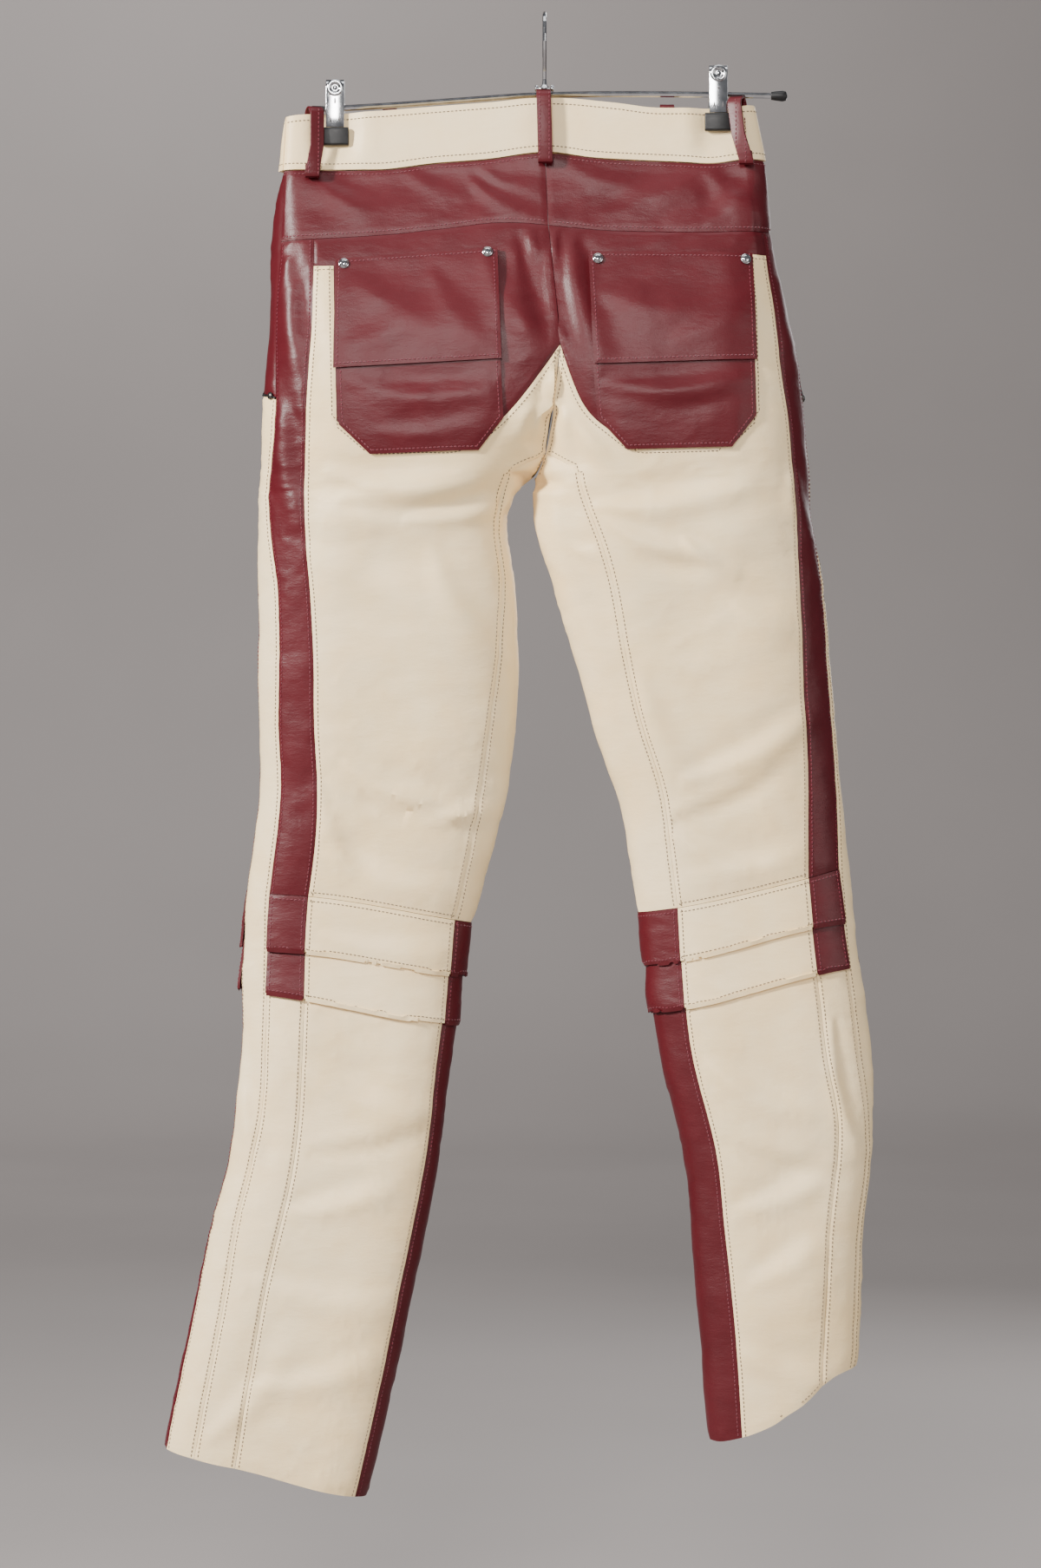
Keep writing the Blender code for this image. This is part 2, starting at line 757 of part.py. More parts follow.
def add(name, points, faces, finish):
    points = np.array(points, float)
    triangles = []
    for face in faces:
        if len(face) == 4:
            a, b, c, d = face
            if np.linalg.norm(points[a] - points[c]) <= np.linalg.norm(points[b] - points[d]):
                triangles += [(a, b, c), (a, c, d)]
            else:
                triangles += [(a, b, d), (b, c, d)]
        else:
            triangles += [(face[0], b, c) for b, c in zip(face[1:], face[2:])]
    if volume(points, triangles) < 0:
        triangles = [tuple(reversed(face)) for face in triangles]
    mesh = bpy.data.meshes.new(name)
    mesh.from_pydata((points * MM).tolist(), [], triangles)
    mesh.update()
    mesh.shade_smooth()
    mesh.set_sharp_from_angle(angle=math.radians(40))
    piece = bpy.data.objects.new(name, mesh)
    bpy.context.scene.collection.objects.link(piece)
    mesh.materials.append(material(name, finish))
    return piece


def cloth(name, finish, stretches, wall=WALL, proud=0.0, lift=None, lap=0.0, fine=1, gap=SEAM_GAP):
    sheet = Sheet()
    for leg, seams, levels in stretches:
        sheet.stretch(leg, seams, levels, lift, lap, fine)
    points, faces = sheet.solid(wall, proud, gap)
    return add(name, points, faces, finish)


def runs(leg, seams, levels):
    """Every stretch between the first and last of some long seams and cross seams."""
    return [
        (leg, (s0, s1), (l0, l1))
        for s0, s1 in zip(seams, seams[1:])
        for l0, l1 in zip(levels, levels[1:])
    ]


# The garment's pieces
def leg_pieces(leg):
    whole_back = ("side", "back", "pocket", "inner_back")
    cloth(f"yoke_{leg}", LEATHER_BURGUNDY, runs(leg, whole_back, ("band", "yoke")))
    cloth(
        f"seat_{leg}",
        LEATHER_BURGUNDY,
        runs(leg, ("back", "pocket"), ("yoke", "strip"))
        + runs(leg, ("pocket", "inner_back"), ("yoke", "strip", "seat")),
    )
    cloth(
        f"thigh_back_{leg}",
        LEATHER_CREAM,
        runs(leg, ("back", "pocket"), ("strip", "seat", "fork", "knee_top"))
        + runs(leg, ("pocket", "inner_back"), ("seat", "fork", "knee_top")),
    )
    cloth(
        f"side_stripe_{leg}",
        LEATHER_BURGUNDY,
        runs(leg, ("side", "back"), ("yoke", "strip", "seat", "fork", "knee_top")),
    )
    cloth(
        f"side_strip_{leg}",
        LEATHER_CREAM,
        runs(leg, ("front0", "side"), ("seat", "fork", "knee_top", "knee_middle", "knee_bottom", "hem")),
    )
    cloth(
        f"hip_facing_{leg}",
        LEATHER_BURGUNDY,
        runs(leg, ("front0", "side"), ("band", "yoke", "strip", "seat")),
    )
    cloth(
        f"front_{leg}",
        LEATHER_BURGUNDY,
        runs(leg, ("inner_front", "front"), ("band", "yoke", "strip", "seat", "fork", "knee_top")),
    )
    cloth(
        f"inner_thigh_{leg}",
        LEATHER_CREAM,
        runs(leg, ("inner_back", "inner_front"), ("fork", "knee_top")),
        lift=lambda b: -CROTCH_PARTING * (1 - b) ** 6,
    )
    bands = (("upper", "knee_top", "knee_middle"), ("lower", "knee_middle", "knee_bottom"))
    for name, top, bottom in bands:
        pieces = (
            ("end", LEATHER_BURGUNDY, ("side", "back")),
            ("back", LEATHER_CREAM, ("back", "pocket", "inner_back")),
            ("front", LEATHER_BURGUNDY, ("inner_back", "inner_front", "front")),
        )
        for part, finish, seams in pieces:
            cloth(
                f"knee_{name}_{part}_{leg}",
                finish,
                runs(leg, seams, (top, bottom)),
                lift=lambda b: LAP_LIFT * b * b * (3 - 2 * b),
                lap=LAP,
            )
    cloth(f"calf_strip_{leg}", LEATHER_CREAM, runs(leg, ("side", "back"), ("knee_bottom", "hem")))
    cloth(
        f"calf_back_{leg}",
        LEATHER_CREAM,
        runs(leg, ("back", "pocket", "inner_back"), ("knee_bottom", "hem")),
    )
    cloth(
        f"shin_{leg}",
        LEATHER_BURGUNDY,
        runs(leg, ("inner_back", "inner_front", "front"), ("knee_bottom", "hem")),
    )


def waistband():
    back = ("side", "back", "pocket", "inner_back")
    front = ("inner_front", "front")
    level = ("top", "band")
    stretches = runs("left", back, level) + runs("right", back, level)
    cloth("waistband_back", LEATHER_CREAM, stretches, wall=BAND_WALL, proud=BAND_PROUD, fine=2, gap=BAND_GAP)
    stretches = runs("left", front, level) + runs("right", front, level)
    stretches += runs("left", ("front0", "side"), level) + runs("right", ("front0", "side"), level)
    cloth("waistband_front", LEATHER_CREAM, stretches, wall=BAND_WALL, proud=BAND_PROUD, fine=2, gap=BAND_GAP)


def pocket_places(leg, sides, top, bottom, rows, columns):
    left = straight(sides, POCKET_COLUMNS.index("left"))
    right = straight(sides, POCKET_COLUMNS.index("right"))
    top, bottom = straight(top), straight(bottom)
    places = []
    for b in rows:
        row = []
        for i in range(columns + 1):
            a = i / columns
            drop = blend(185.0, 335.0, b)
            for _ in range(10):
                x = blend(left(drop), right(drop), a)
                drop = blend(top(x), bottom(x), b)
            row.append((turn_at(leg, x, drop), drop))
        places.append(row)
    return places


def patch(name, leg, places, lift, wall, finish):
    sheet = Sheet()
    rows = []
    for line in places:
        rows.append([sheet.point(surface(leg, t, d), outward(leg, t, d), lift) for t, d in line])
    sheet.grid(leg, rows)
    points, faces = sheet.solid(wall)
    return add(name, points, faces, finish)


def pockets(leg):
    form = POCKETS[leg]
    lift = POCKET_GAP + POCKET_WALL
    places = pocket_places(leg, form["sides"], form["top"], form["bottom"], form["rows"], 8)
    patch(f"pocket_{leg}", leg, places, lift, POCKET_WALL, LEATHER_BURGUNDY)
    top_left, top_right, low_left, low_right = form["flap"]
    sides = (
        (min(top_left[1], top_right[1]), top_left[0], top_right[0]),
        (max(low_left[1], low_right[1]), low_left[0], low_right[0]),
    )
    rows = (0.0, 1 / 3, 2 / 3, 1.0)
    places = pocket_places(leg, sides, (top_left, top_right), (low_left, low_right), rows, 8)
    patch(f"pocket_patch_{leg}", leg, places, 2 * lift, POCKET_WALL, LEATHER_BURGUNDY)
    ends = ("outer", "inner") if leg == "left" else ("inner", "outer")
    above = 2 * lift + SEAM_GAP
    for end, (x, drop) in zip(ends, form["rivets"]):
        dome(f"rivet_{leg}_{end}", leg, turn_at(leg, x, drop), drop, above, RIVET_RADIUS, RIVET_HEIGHT, STEEL)


def dome(name, leg, turn, drop, lift, radius, height, finish):
    """A domed stud on the cloth, turned round its own axis."""
    axis = outward(leg, turn, drop)
    across = np.cross(axis, (0, 0, 1))
    across /= np.linalg.norm(across)
    up = np.cross(across, axis)
    base = surface(leg, turn, drop) + axis * lift
    profile = ((radius, 0.0), (radius, 0.35 * height), (0.75 * radius, 0.8 * height), (0.35 * radius, height))
    sides = 14
    points, faces = [], []
    for out, high in profile:
        for k in range(sides):
            angle = 2 * math.pi * k / sides
            points.append(base + axis * high + (across * math.cos(angle) + up * math.sin(angle)) * out)
    for ring in range(len(profile) - 1):
        for k in range(sides):
            a, b = ring * sides + k, ring * sides + (k + 1) % sides
            faces.append((a, b, b + sides, a + sides))
    faces.append(tuple(reversed(range(sides))))
    faces.append(tuple(range((len(profile) - 1) * sides, len(profile) * sides)))
    add(name, points, faces, finish)


LOOP_COLUMNS = ("name", "leg", "face", "x", "top", "bottom", "clear")
LOOPS = (
    ("loop_back_left", "left", "back", -176, 76, 125, 0.9),
    ("loop_back_centre", "left", "back", 0, 63.5, 114, 0.9),
    ("loop_back_right", "right", "back", 150, 68.5, 115, 1.5),
    ("loop_front_left", "left", "front", -118, 73, 122, 0.9),
    ("loop_front_right", "right", "front", 96, 71, 119, 0.9),
)


def belt_loop(name, leg, face, x, top, bottom, clear):
    """A strip folded over the band's top edge, standing off the band, and folded under at its foot."""
    half = LOOP_WALL / 2
    inside = -(BAND_WALL - BAND_PROUD + clear + half)
    outside = BAND_PROUD + LOOP_STAND_OFF + half
    foot = BAND_PROUD + clear + half
    path = [(inside, top + LOOP_TUCK / 2), (inside, top + 1)]
    over = (outside - inside) / 2
    for k in range(1, 8):
        angle = math.pi * k / 8
        path.append((inside + over * (1 - math.cos(angle)), top + 1 - over * math.sin(angle)))
    path += [(outside, top + 1), (outside + 0.6, blend(top, bottom, 0.5))]
    under = (outside - foot) / 2
    for k in range(0, 5):
        angle = math.pi * k / 4
        path.append((foot + under * (1 + math.cos(angle)), bottom - under + under * math.sin(angle)))
    path.append((foot, bottom - under - LOOP_TUCK))
    points, faces = [], []
    turn = turn_at(leg, x, blend(top, bottom, 0.5), face)
    for i, (off, drop) in enumerate(path):
        before, after = path[max(0, i - 1)], path[min(len(path) - 1, i + 1)]
        along = np.array([after[0] - before[0], after[1] - before[1]])
        along /= np.linalg.norm(along)
        normal = outward(leg, turn, max(drop, top))
        normal = np.array([normal[0], normal[1], 0.0])
        normal /= np.linalg.norm(normal)
        across = np.array([-normal[1], normal[0], 0.0])
        base = surface(leg, turn, max(drop, top))
        for side, wide in ((-1, -1), (1, -1), (1, 1), (-1, 1)):
            out = off + half * wide * along[1]
            low = drop - half * wide * along[0]
            place = np.array([base[0], base[1], -low]) + normal * out + across * side * LOOP_WIDTH / 2
            points.append(place)
    for i in range(len(path) - 1):
        for k in range(4):
            a, b = 4 * i + k, 4 * i + (k + 1) % 4
            faces.append((a, b, b + 4, a + 4))
    faces.append((3, 2, 1, 0))
    last = 4 * (len(path) - 1)
    faces.append((last, last + 1, last + 2, last + 3))
    add(name, points, faces, LEATHER_BURGUNDY)


# The hanger
def tube(name, path, radii, sides, finish):
    path = np.array(path, float)
    points, faces = [], []
    for i, centre in enumerate(path):
        along = path[min(len(path) - 1, i + 1)] - path[max(0, i - 1)]
        along /= np.linalg.norm(along)
        side = np.cross(along, (1, 0, 0) if abs(along[0]) < 0.9 else (0, 1, 0))
        side /= np.linalg.norm(side)
        other = np.cross(along, side)
        for k in range(sides):
            angle = 2 * math.pi * k / sides
            points.append(centre + (side * math.cos(angle) + other * math.sin(angle)) * radii[i])
    for i in range(len(path) - 1):
        for k in range(sides):
            a, b = i * sides + k, i * sides + (k + 1) % sides
            faces.append((a, b, b + sides, a + sides))
    faces.append(tuple(reversed(range(sides))))
    faces.append(tuple(range((len(path) - 1) * sides, len(path) * sides)))
    add(name, points, faces, finish)


BAR_DROPS = ((-170, 71), (-120, 68.3), (-60, 64), (0, 60.2), (60, 59.4), (125, 59.9), (174, 60.8))
BAR_LINE = Line(BAR_DROPS)
FOOT_RADIUS = 3.6


def hanger():
    ends = (-167, 172)
    stops = np.linspace(ends[0], ends[1], 19)
    tube("hanger_bar", [(x, 0, -BAR_LINE(x)) for x in stops], [BAR_RADIUS] * len(stops), 8, STEEL)
    for name, start, way, size in (("left", ends[0], -1, 3.0), ("right", ends[1], 1, 4.2)):
        shape = (
            (SEAM_GAP, 0.75 * size),
            (5.0, 0.9 * size),
            (9.0, size),
            (11.5, 0.85 * size),
            (12.6, 0.4 * size),
        )
        path = [(start + way * far, 0, -BAR_LINE(start + way * far)) for far, _ in shape]
        tube(f"bar_cap_{name}", path, [radius for _, radius in shape], 12, RUBBER)
    seat = BAR_LINE(0) - BAR_RADIUS - SEAM_GAP
    path = [(0, 0, -seat), (0, 0, -(seat - 3)), (0, 0, -(seat - 5)), (0, 0, -48), (0, -2.5, -42)]
    radii = [FOOT_RADIUS, FOOT_RADIUS, WIRE_RADIUS + 0.5, WIRE_RADIUS, WIRE_RADIUS]
    path += [(0, -8.5, -35), (0, -15, -27.5), (0, -17.9, -22)]
    for k in range(0, 13):
        angle = math.pi * (1 - k / 12)
        path.append((0, HOOK_RADIUS * math.cos(angle), -(17 - HOOK_RADIUS * math.sin(angle))))
    path += [(0, 18.2, -22), (0, 19.5, -28)]
    radii += [WIRE_RADIUS] * (len(path) - len(radii))
    tube("hanger_hook", path, radii, 10, STEEL)
    for name in CLIP_AT:
        clip(name)


def clip(name):
    """A folded steel jaw that hangs on the bar and grips the band between its two ends."""
    x, dome_drop = CLIP_AT[name]
    bar = BAR_LINE(x) - dome_drop
    bore = BAR_RADIUS + CLIP_PLAY
    foot = CLIP_TO_TIP - SEAM_GAP
    outer = [(8.2, foot), (8.0, 18), (CLIP_RADIUS, 4)]
    for k in range(0, 9):
        angle = math.pi * k / 8
        outer.append((CLIP_RADIUS * math.cos(angle), -CLIP_RADIUS * math.sin(angle)))
    outer += [(-CLIP_RADIUS, 4), (-8.0, 18), (-8.2, foot)]
    slot = [(-6.8, foot), (-6.6, bar + 4), (-bore, bar + 1)]
    for k in range(1, 6):
        angle = math.pi * (1 - k / 6)
        slot.append((bore * math.cos(angle), bar - bore * math.sin(angle)))
    slot += [(bore, bar + 1), (6.6, bar + 4), (6.8, foot)]
    outline = outer + slot
    half = CLIP_WIDTH / 2
    points = [(x - half, y, -(dome_drop + drop)) for y, drop in outline]
    points += [(x + half, y, -(dome_drop + drop)) for y, drop in outline]
    count = len(outline)
    faces = [(i, (i + 1) % count, count + (i + 1) % count, count + i) for i in range(count)]
    mesh = bpy.data.meshes.new("outline")
    mesh.from_pydata([(y, -drop, 0) for y, drop in outline], [], [tuple(range(count))])
    mesh.calc_loop_triangles()
    caps = [tuple(t.vertices) for t in mesh.loop_triangles]
    faces += [tuple(reversed(t)) for t in caps]
    faces += [tuple(count + i for i in t) for t in caps]
    bpy.data.meshes.remove(mesh)
    add(f"clip_{name}", points, faces, STEEL)
    top = dome_drop + CLIP_TO_TIP
    wide, deep, high = TIP_SIZE
    under = [(x + way * wide / 2, top + share * high) for way in (-1, 0, 1) for share in (0, 0.5, 1)]
    grip = max(-surface(name, turn_at(name, place, drop), drop)[1] for place, drop in under)
    grip += BAND_PROUD + 2.5 * SEAM_GAP
    bevel = 1.2
    points, faces = [], []
    profile = (
        (grip, top),
        (grip, top + high - bevel),
        (grip + bevel, top + high),
        (grip + deep - bevel, top + high),
        (grip + deep, top + high - bevel),
        (grip + deep, top + bevel),
        (grip + deep - bevel, top),
    )
    for way in (-1, 1):
        points += [(x + way * wide / 2, -y, -drop) for y, drop in profile]
    count = len(profile)
    faces = [(i, (i + 1) % count, count + (i + 1) % count, count + i) for i in range(count)]
    faces.append(tuple(reversed(range(count))))
    faces.append(tuple(range(count, 2 * count)))
    add(f"clip_tip_{name}", points, faces, RUBBER)


for old in list(bpy.data.objects):
    bpy.data.objects.remove(old)

waistband()
for leg_name in ("left", "right"):
    leg_pieces(leg_name)
    pockets(leg_name)
    mouth = 291.0
    beside = walk(leg_name, side_seam(leg_name, mouth), mouth, -5.5)
    dome(f"rivet_hip_{leg_name}", leg_name, beside, mouth, SEAM_GAP, HIP_RIVET_RADIUS, RIVET_HEIGHT, STEEL)
for loop_row in LOOPS:
    belt_loop(**dict(zip(LOOP_COLUMNS, loop_row)))
front_drop = 86.0
dome(
    "waist_button",
    "left",
    turn_at("left", 0.0, front_drop, "front"),
    front_drop,
    BAND_PROUD + SEAM_GAP,
    BUTTON_RADIUS,
    BUTTON_HEIGHT,
    STEEL,
)
hanger()
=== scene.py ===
import math

import bmesh
import bpy
import numpy as np
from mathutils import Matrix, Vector, noise
from mathutils.bvhtree import BVHTree
from mathutils.kdtree import KDTree


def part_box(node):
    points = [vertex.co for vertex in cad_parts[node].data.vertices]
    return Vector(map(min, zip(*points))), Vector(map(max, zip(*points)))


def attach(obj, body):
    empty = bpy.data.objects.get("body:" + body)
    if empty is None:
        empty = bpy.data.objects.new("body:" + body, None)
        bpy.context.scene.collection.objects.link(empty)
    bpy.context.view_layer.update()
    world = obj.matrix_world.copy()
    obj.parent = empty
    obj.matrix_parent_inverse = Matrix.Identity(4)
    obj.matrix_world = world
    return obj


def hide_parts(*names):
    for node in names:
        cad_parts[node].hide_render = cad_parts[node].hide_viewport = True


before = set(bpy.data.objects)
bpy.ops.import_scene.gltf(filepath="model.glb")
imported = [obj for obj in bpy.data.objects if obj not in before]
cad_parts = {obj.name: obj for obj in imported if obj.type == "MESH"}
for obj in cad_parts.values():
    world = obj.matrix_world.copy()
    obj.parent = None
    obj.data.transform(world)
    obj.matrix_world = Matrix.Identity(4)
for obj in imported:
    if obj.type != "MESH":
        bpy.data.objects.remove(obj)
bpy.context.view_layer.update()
mm = 0.001

# The photograph's scale and the places where its features lie, in pixels
photo = {"wide": 1200, "high": 1807, "scale": 0.652, "originX": 628, "originY": 8}


# A pixel's place in millimetres: across, and down from the hook's inner top
def placeOf(px, py):
    return (px - photo["originX"]) * photo["scale"], (py - photo["originY"]) * photo["scale"]


# Camera, light and stage
shot = {"distance": 3.0, "sensor": 36.0, "plane": -0.035}
centreX, centreDrop = placeOf(photo["wide"] / 2, photo["high"] / 2)
viewHeight = photo["high"] * photo["scale"] * mm
cameraData = bpy.data.cameras.new("camera")
cameraData.sensor_fit = "VERTICAL"
cameraData.sensor_height = shot["sensor"]
cameraData.lens = shot["sensor"] * shot["distance"] / viewHeight
camera = bpy.data.objects.new("camera", cameraData)
camera.location = (centreX * mm, shot["plane"] - shot["distance"], -centreDrop * mm)
camera.rotation_euler = (math.pi / 2, 0, 0)
bpy.context.scene.collection.objects.link(camera)
bpy.context.scene.camera = camera


def softLight(name, place, target, size, power, colour):
    data = bpy.data.lights.new(name, "AREA")
    data.shape = "RECTANGLE"
    data.size, data.size_y = size
    data.energy = power
    data.color = colour
    light = bpy.data.objects.new(name, data)
    light.location = place
    light.rotation_euler = (Vector(target) - Vector(place)).to_track_quat("-Z", "Y").to_euler()
    bpy.context.scene.collection.objects.link(light)


softLight("key", (-2.5, -1.75, 0.9), (0, 0, -0.62), (0.4, 0.5), 225, (1.0, 0.965, 0.92))
softLight("fill", (2.2, -1.9, -0.2), (0, 0, -0.6), (1.4, 1.8), 24, (1.0, 0.96, 0.92))
softLight("front", (-0.35, -3.3, 0.75), (0, 0, -0.5), (0.7, 0.9), 62, (1.0, 0.97, 0.94))
softLight("top", (0.0, -0.4, 1.6), (0, 0, -0.4), (1.6, 1.0), 14, (1, 1, 1))
softLight("back", (0.9, 2.0, 0.3), (0, 0, -0.6), (1.5, 1.6), 22, (1, 1, 1))
softLight("wall", (-1.2, 4.4, 2.2), (0, 6.5, -0.6), (2.0, 2.0), 70, (1.0, 0.97, 0.95))
world = bpy.data.worlds.new("world")
world.use_nodes = True
world.node_tree.nodes["Background"].inputs["Color"].default_value = (0.80, 0.80, 0.84, 1)
world.node_tree.nodes["Background"].inputs["Strength"].default_value = 0.24
bpy.context.scene.world = world
print("camera and light")


# Shader maths
class Wire:
    def __init__(self, tree, socket):
        self.tree = tree
        self.socket = socket

    def node(self, kind, settings, sockets, output=0):
        made = self.tree.nodes.new(kind)
        for key, value in settings.items():
            setattr(made, key, value)
        for key, value in sockets.items():
            if isinstance(value, Wire):
                self.tree.links.new(value.socket, made.inputs[key])
            else:
                made.inputs[key].default_value = value
        return Wire(self.tree, made.outputs[output])

    def maths(self, operation, first, second):
        return self.node("ShaderNodeMath", {"operation": operation}, {0: first, 1: second})

    def __add__(self, other):
        return self.maths("ADD", self, other)

    def __sub__(self, other):
        return self.maths("SUBTRACT", self, other)

    def __rsub__(self, other):
        return self.maths("SUBTRACT", other, self)

    def __mul__(self, other):
        return self.maths("MULTIPLY", self, other)

    def clamped(self):
        return self.node("ShaderNodeClamp", {}, {"Value": self})

    def between(self, low, high):
        sockets = {0: self, 1: low, 2: high, 3: 0.0, 4: 1.0}
        return self.node("ShaderNodeMapRange", {"interpolation_type": "SMOOTHSTEP"}, sockets)

    def noise(self, scale, detail=2.0, rough=0.5):
        sockets = {"Vector": self, "Scale": scale, "Detail": detail, "Roughness": rough}
        return self.node("ShaderNodeTexNoise", {}, sockets)

    def cells(self, scale):
        return self.node("ShaderNodeTexVoronoi", {"feature": "F1"}, {"Vector": self, "Scale": scale})

    def stretched(self, sizes):
        return self.node("ShaderNodeVectorMath", {"operation": "MULTIPLY"}, {0: self, 1: sizes})

    def feed(self, shader, key):
        self.tree.links.new(self.socket, shader.inputs[key])

    # A colour between two, by this share
    def mixed(self, first, second):
        made = self.tree.nodes.new("ShaderNodeMix")
        made.data_type = "RGBA"
        self.tree.links.new(self.socket, made.inputs["Factor"])
        for key, value in ((6, first), (7, second)):
            if isinstance(value, Wire):
                self.tree.links.new(value.socket, made.inputs[key])
            else:
                made.inputs[key].default_value = (*value, 1)
        return Wire(self.tree, made.outputs[2])


def scaled(tone, share):
    return tuple(share * part for part in tone)


def newMaterial(name, constants):
    made = bpy.data.materials.new(name)
    made.use_nodes = True
    tree = made.node_tree
    shader = tree.nodes["Principled BSDF"]
    for key, value in constants.items():
        shader.inputs[key].default_value = value
    place = Wire(tree, tree.nodes.new("ShaderNodeNewGeometry").outputs["Position"])
    return made, tree, shader, place


# Bumps laid one on the other, each a height, its strength and its depth in metres
def bumped(tree, shader, layers):
    last = None
    for height, strength, depth in layers:
        made = tree.nodes.new("ShaderNodeBump")
        made.inputs["Strength"].default_value = strength
        made.inputs["Distance"].default_value = depth
        tree.links.new(height.socket, made.inputs["Height"])
        if last:
            tree.links.new(last, made.inputs["Normal"])
        last = made.outputs["Normal"]
    tree.links.new(last, shader.inputs["Normal"])


def leather(name, tones, rough, wrinkle, coat):
    made, tree, shader, place = newMaterial(name, {"Specular IOR Level": 0.34, "Coat Roughness": 0.36})
    cloud = place.noise(7.0, 3.0)
    mottle = place.noise(46.0, 4.0, 0.55)
    grain = place.cells(900.0)
    fine = place.noise(1600.0, 2.0)
    lines = place.stretched((1.0, 1.0, 2.6)).noise(55.0, 6.0, 0.62)
    pores = grain.between(0.25, 0.6)
    shade = (cloud * 0.6 + mottle * 0.4).between(0.30, 0.70)
    base = shade.mixed(tones["deep"], tones["light"])
    base = (1.0 - pores * 0.10).clamped().mixed(tones["deep"], base)
    rub = place.noise(32.0, 5.0, 0.7).between(0.62, 0.80) * 0.18
    base = rub.mixed(base, tones["worn"])
    base.feed(shader, "Base Color")
    (mottle * 0.10 + cloud * 0.08 + rough - 0.09).clamped().feed(shader, "Roughness")
    (cloud.between(0.3, 0.7) * coat).feed(shader, "Coat Weight")
    bumped(tree, shader, ((lines, wrinkle, 0.0012), (grain, 0.22, 0.0002), (fine, 0.12, 0.0001)))
    return made


def metal(name, tone, rough, brushed):
    made, tree, shader, place = newMaterial(name, {"Metallic": 1.0})
    smear = place.noise(160.0, 4.0, 0.6)
    scratch = place.stretched((1.0, 1.0, 0.08)).noise(2600.0, 2.0)
    smear.between(0.3, 0.7).mixed(scaled(tone, 0.82), tone).feed(shader, "Base Color")
    (smear * 0.14 + rough).clamped().feed(shader, "Roughness")
    bumped(tree, shader, ((scratch, brushed, 0.00005), (smear, 0.08, 0.0002)))
    return made


def rubber(name, tone):
    made, tree, shader, place = newMaterial(name, {"Specular IOR Level": 0.45})
    dust = place.noise(240.0, 4.0, 0.7)
    grain = place.noise(1900.0, 3.0)
    dust.between(0.45, 0.75).mixed(tone, scaled(tone, 3.2)).feed(shader, "Base Color")
    (dust * 0.3 + 0.28).clamped().feed(shader, "Roughness")
    bumped(tree, shader, ((grain, 0.2, 0.0001), (dust, 0.15, 0.0003)))
    return made


def thread(name, tone):
    made, tree, shader, place = newMaterial(name, {"Sheen Weight": 0.25, "Specular IOR Level": 0.35})
    twist = place.noise(3200.0, 2.0)
    twist.between(0.3, 0.7).mixed(scaled(tone, 0.72), tone).feed(shader, "Base Color")
    (twist * 0.2 + 0.5).feed(shader, "Roughness")
    bumped(tree, shader, ((twist, 0.3, 0.0001),))
    return made


tones = {
    "cream": {"deep": (0.95, 0.71, 0.38), "light": (0.97, 0.79, 0.49), "worn": (0.97, 0.85, 0.62)},
    "wine": {"deep": (0.066, 0.0022, 0.0058), "light": (0.086, 0.0036, 0.0082), "worn": (0.12, 0.008, 0.014)},
}
creamLeather = leather("leather_cream", tones["cream"], 0.47, 0.42, 0.08)
wineLeather = leather("leather_burgundy", tones["wine"], 0.42, 0.40, 0.10)
chrome = metal("chrome", (0.52, 0.53, 0.55), 0.07, 0.10)
darkMetal = metal("dark_metal", (0.10, 0.095, 0.09), 0.28, 0.10)
blackRubber = rubber("rubber_black", (0.004, 0.004, 0.0045))
# The cream thread keeps its own warm hue, but its tone is darkened as painted shade for the shadows in its
# stitch holes
creamThreadPaintedShade = thread("thread_cream", (0.25, 0.185, 0.115))
wineThread = thread("thread_burgundy", (0.17, 0.006, 0.024))
finishes = {
    "leather_cream": creamLeather,
    "leather_burgundy": wineLeather,
    "chrome": chrome,
    "rubber_black": blackRubber,
}


def stageMaterial(name, tone):
    made, tree, shader, place = newMaterial(name, {"Specular IOR Level": 0.2})
    cloud = place.noise(1.4, 3.0)
    cloud.between(0.3, 0.7).mixed(scaled(tone, 0.95), tone).feed(shader, "Base Color")
    (cloud * 0.1 + 0.75).feed(shader, "Roughness")
    return made


# A pale floor that curves up into a pale wall
def stage():
    floor = {"drop": -1.32, "wall": 6.5, "round": 1.5, "wide": 18.0, "front": -7.0, "high": 6.0}
    profile = [(floor["front"], floor["drop"]), (floor["wall"] - floor["round"], floor["drop"])]
    for step in range(1, 13):
        angle = math.pi / 2 * step / 12
        profile.append(
            (
                floor["wall"] - floor["round"] + floor["round"] * math.sin(angle),
                floor["drop"] + floor["round"] - floor["round"] * math.cos(angle),
            )
        )
    profile.append((floor["wall"], floor["high"]))
    points = [(side * floor["wide"] / 2, y, z) for side in (-1, 1) for y, z in profile]
    count = len(profile)
    faces = [(i, i + 1, count + i + 1, count + i) for i in range(count - 1)]
    mesh = bpy.data.meshes.new("floor")
    mesh.from_pydata(points, [], faces)
    mesh.shade_smooth()
    made = bpy.data.objects.new("floor", mesh)
    bpy.context.scene.collection.objects.link(made)
    mesh.materials.append(stageMaterial("stage_grey", (0.35, 0.325, 0.318)))


stage()
print("materials and stage")

# How a solid's outer layer is told from the inner one, and how it is refined. The wall and the rim are in
# millimetres, and the angles in degrees.
sheetRules = {"wall": 3.6, "facing": -0.75, "corner": 28, "levels": 3, "rim": 0.35, "sharp": 50}
# The legs' middle lines, as places at drops, tell a wall's outer side
middles = {
    "left": {"drop": (50, 355, 700, 1124), "x": (-98, -113, -145, -210)},
    "right": {"drop": (50, 355, 700, 1060), "x": (80, 98, 155, 178)},
}


def outwards(point, leg):
    middle = float(np.interp(-point.z / mm, middles[leg]["drop"], middles[leg]["x"])) * mm
    return Vector((point.x - middle, point.y, 0)).normalized()


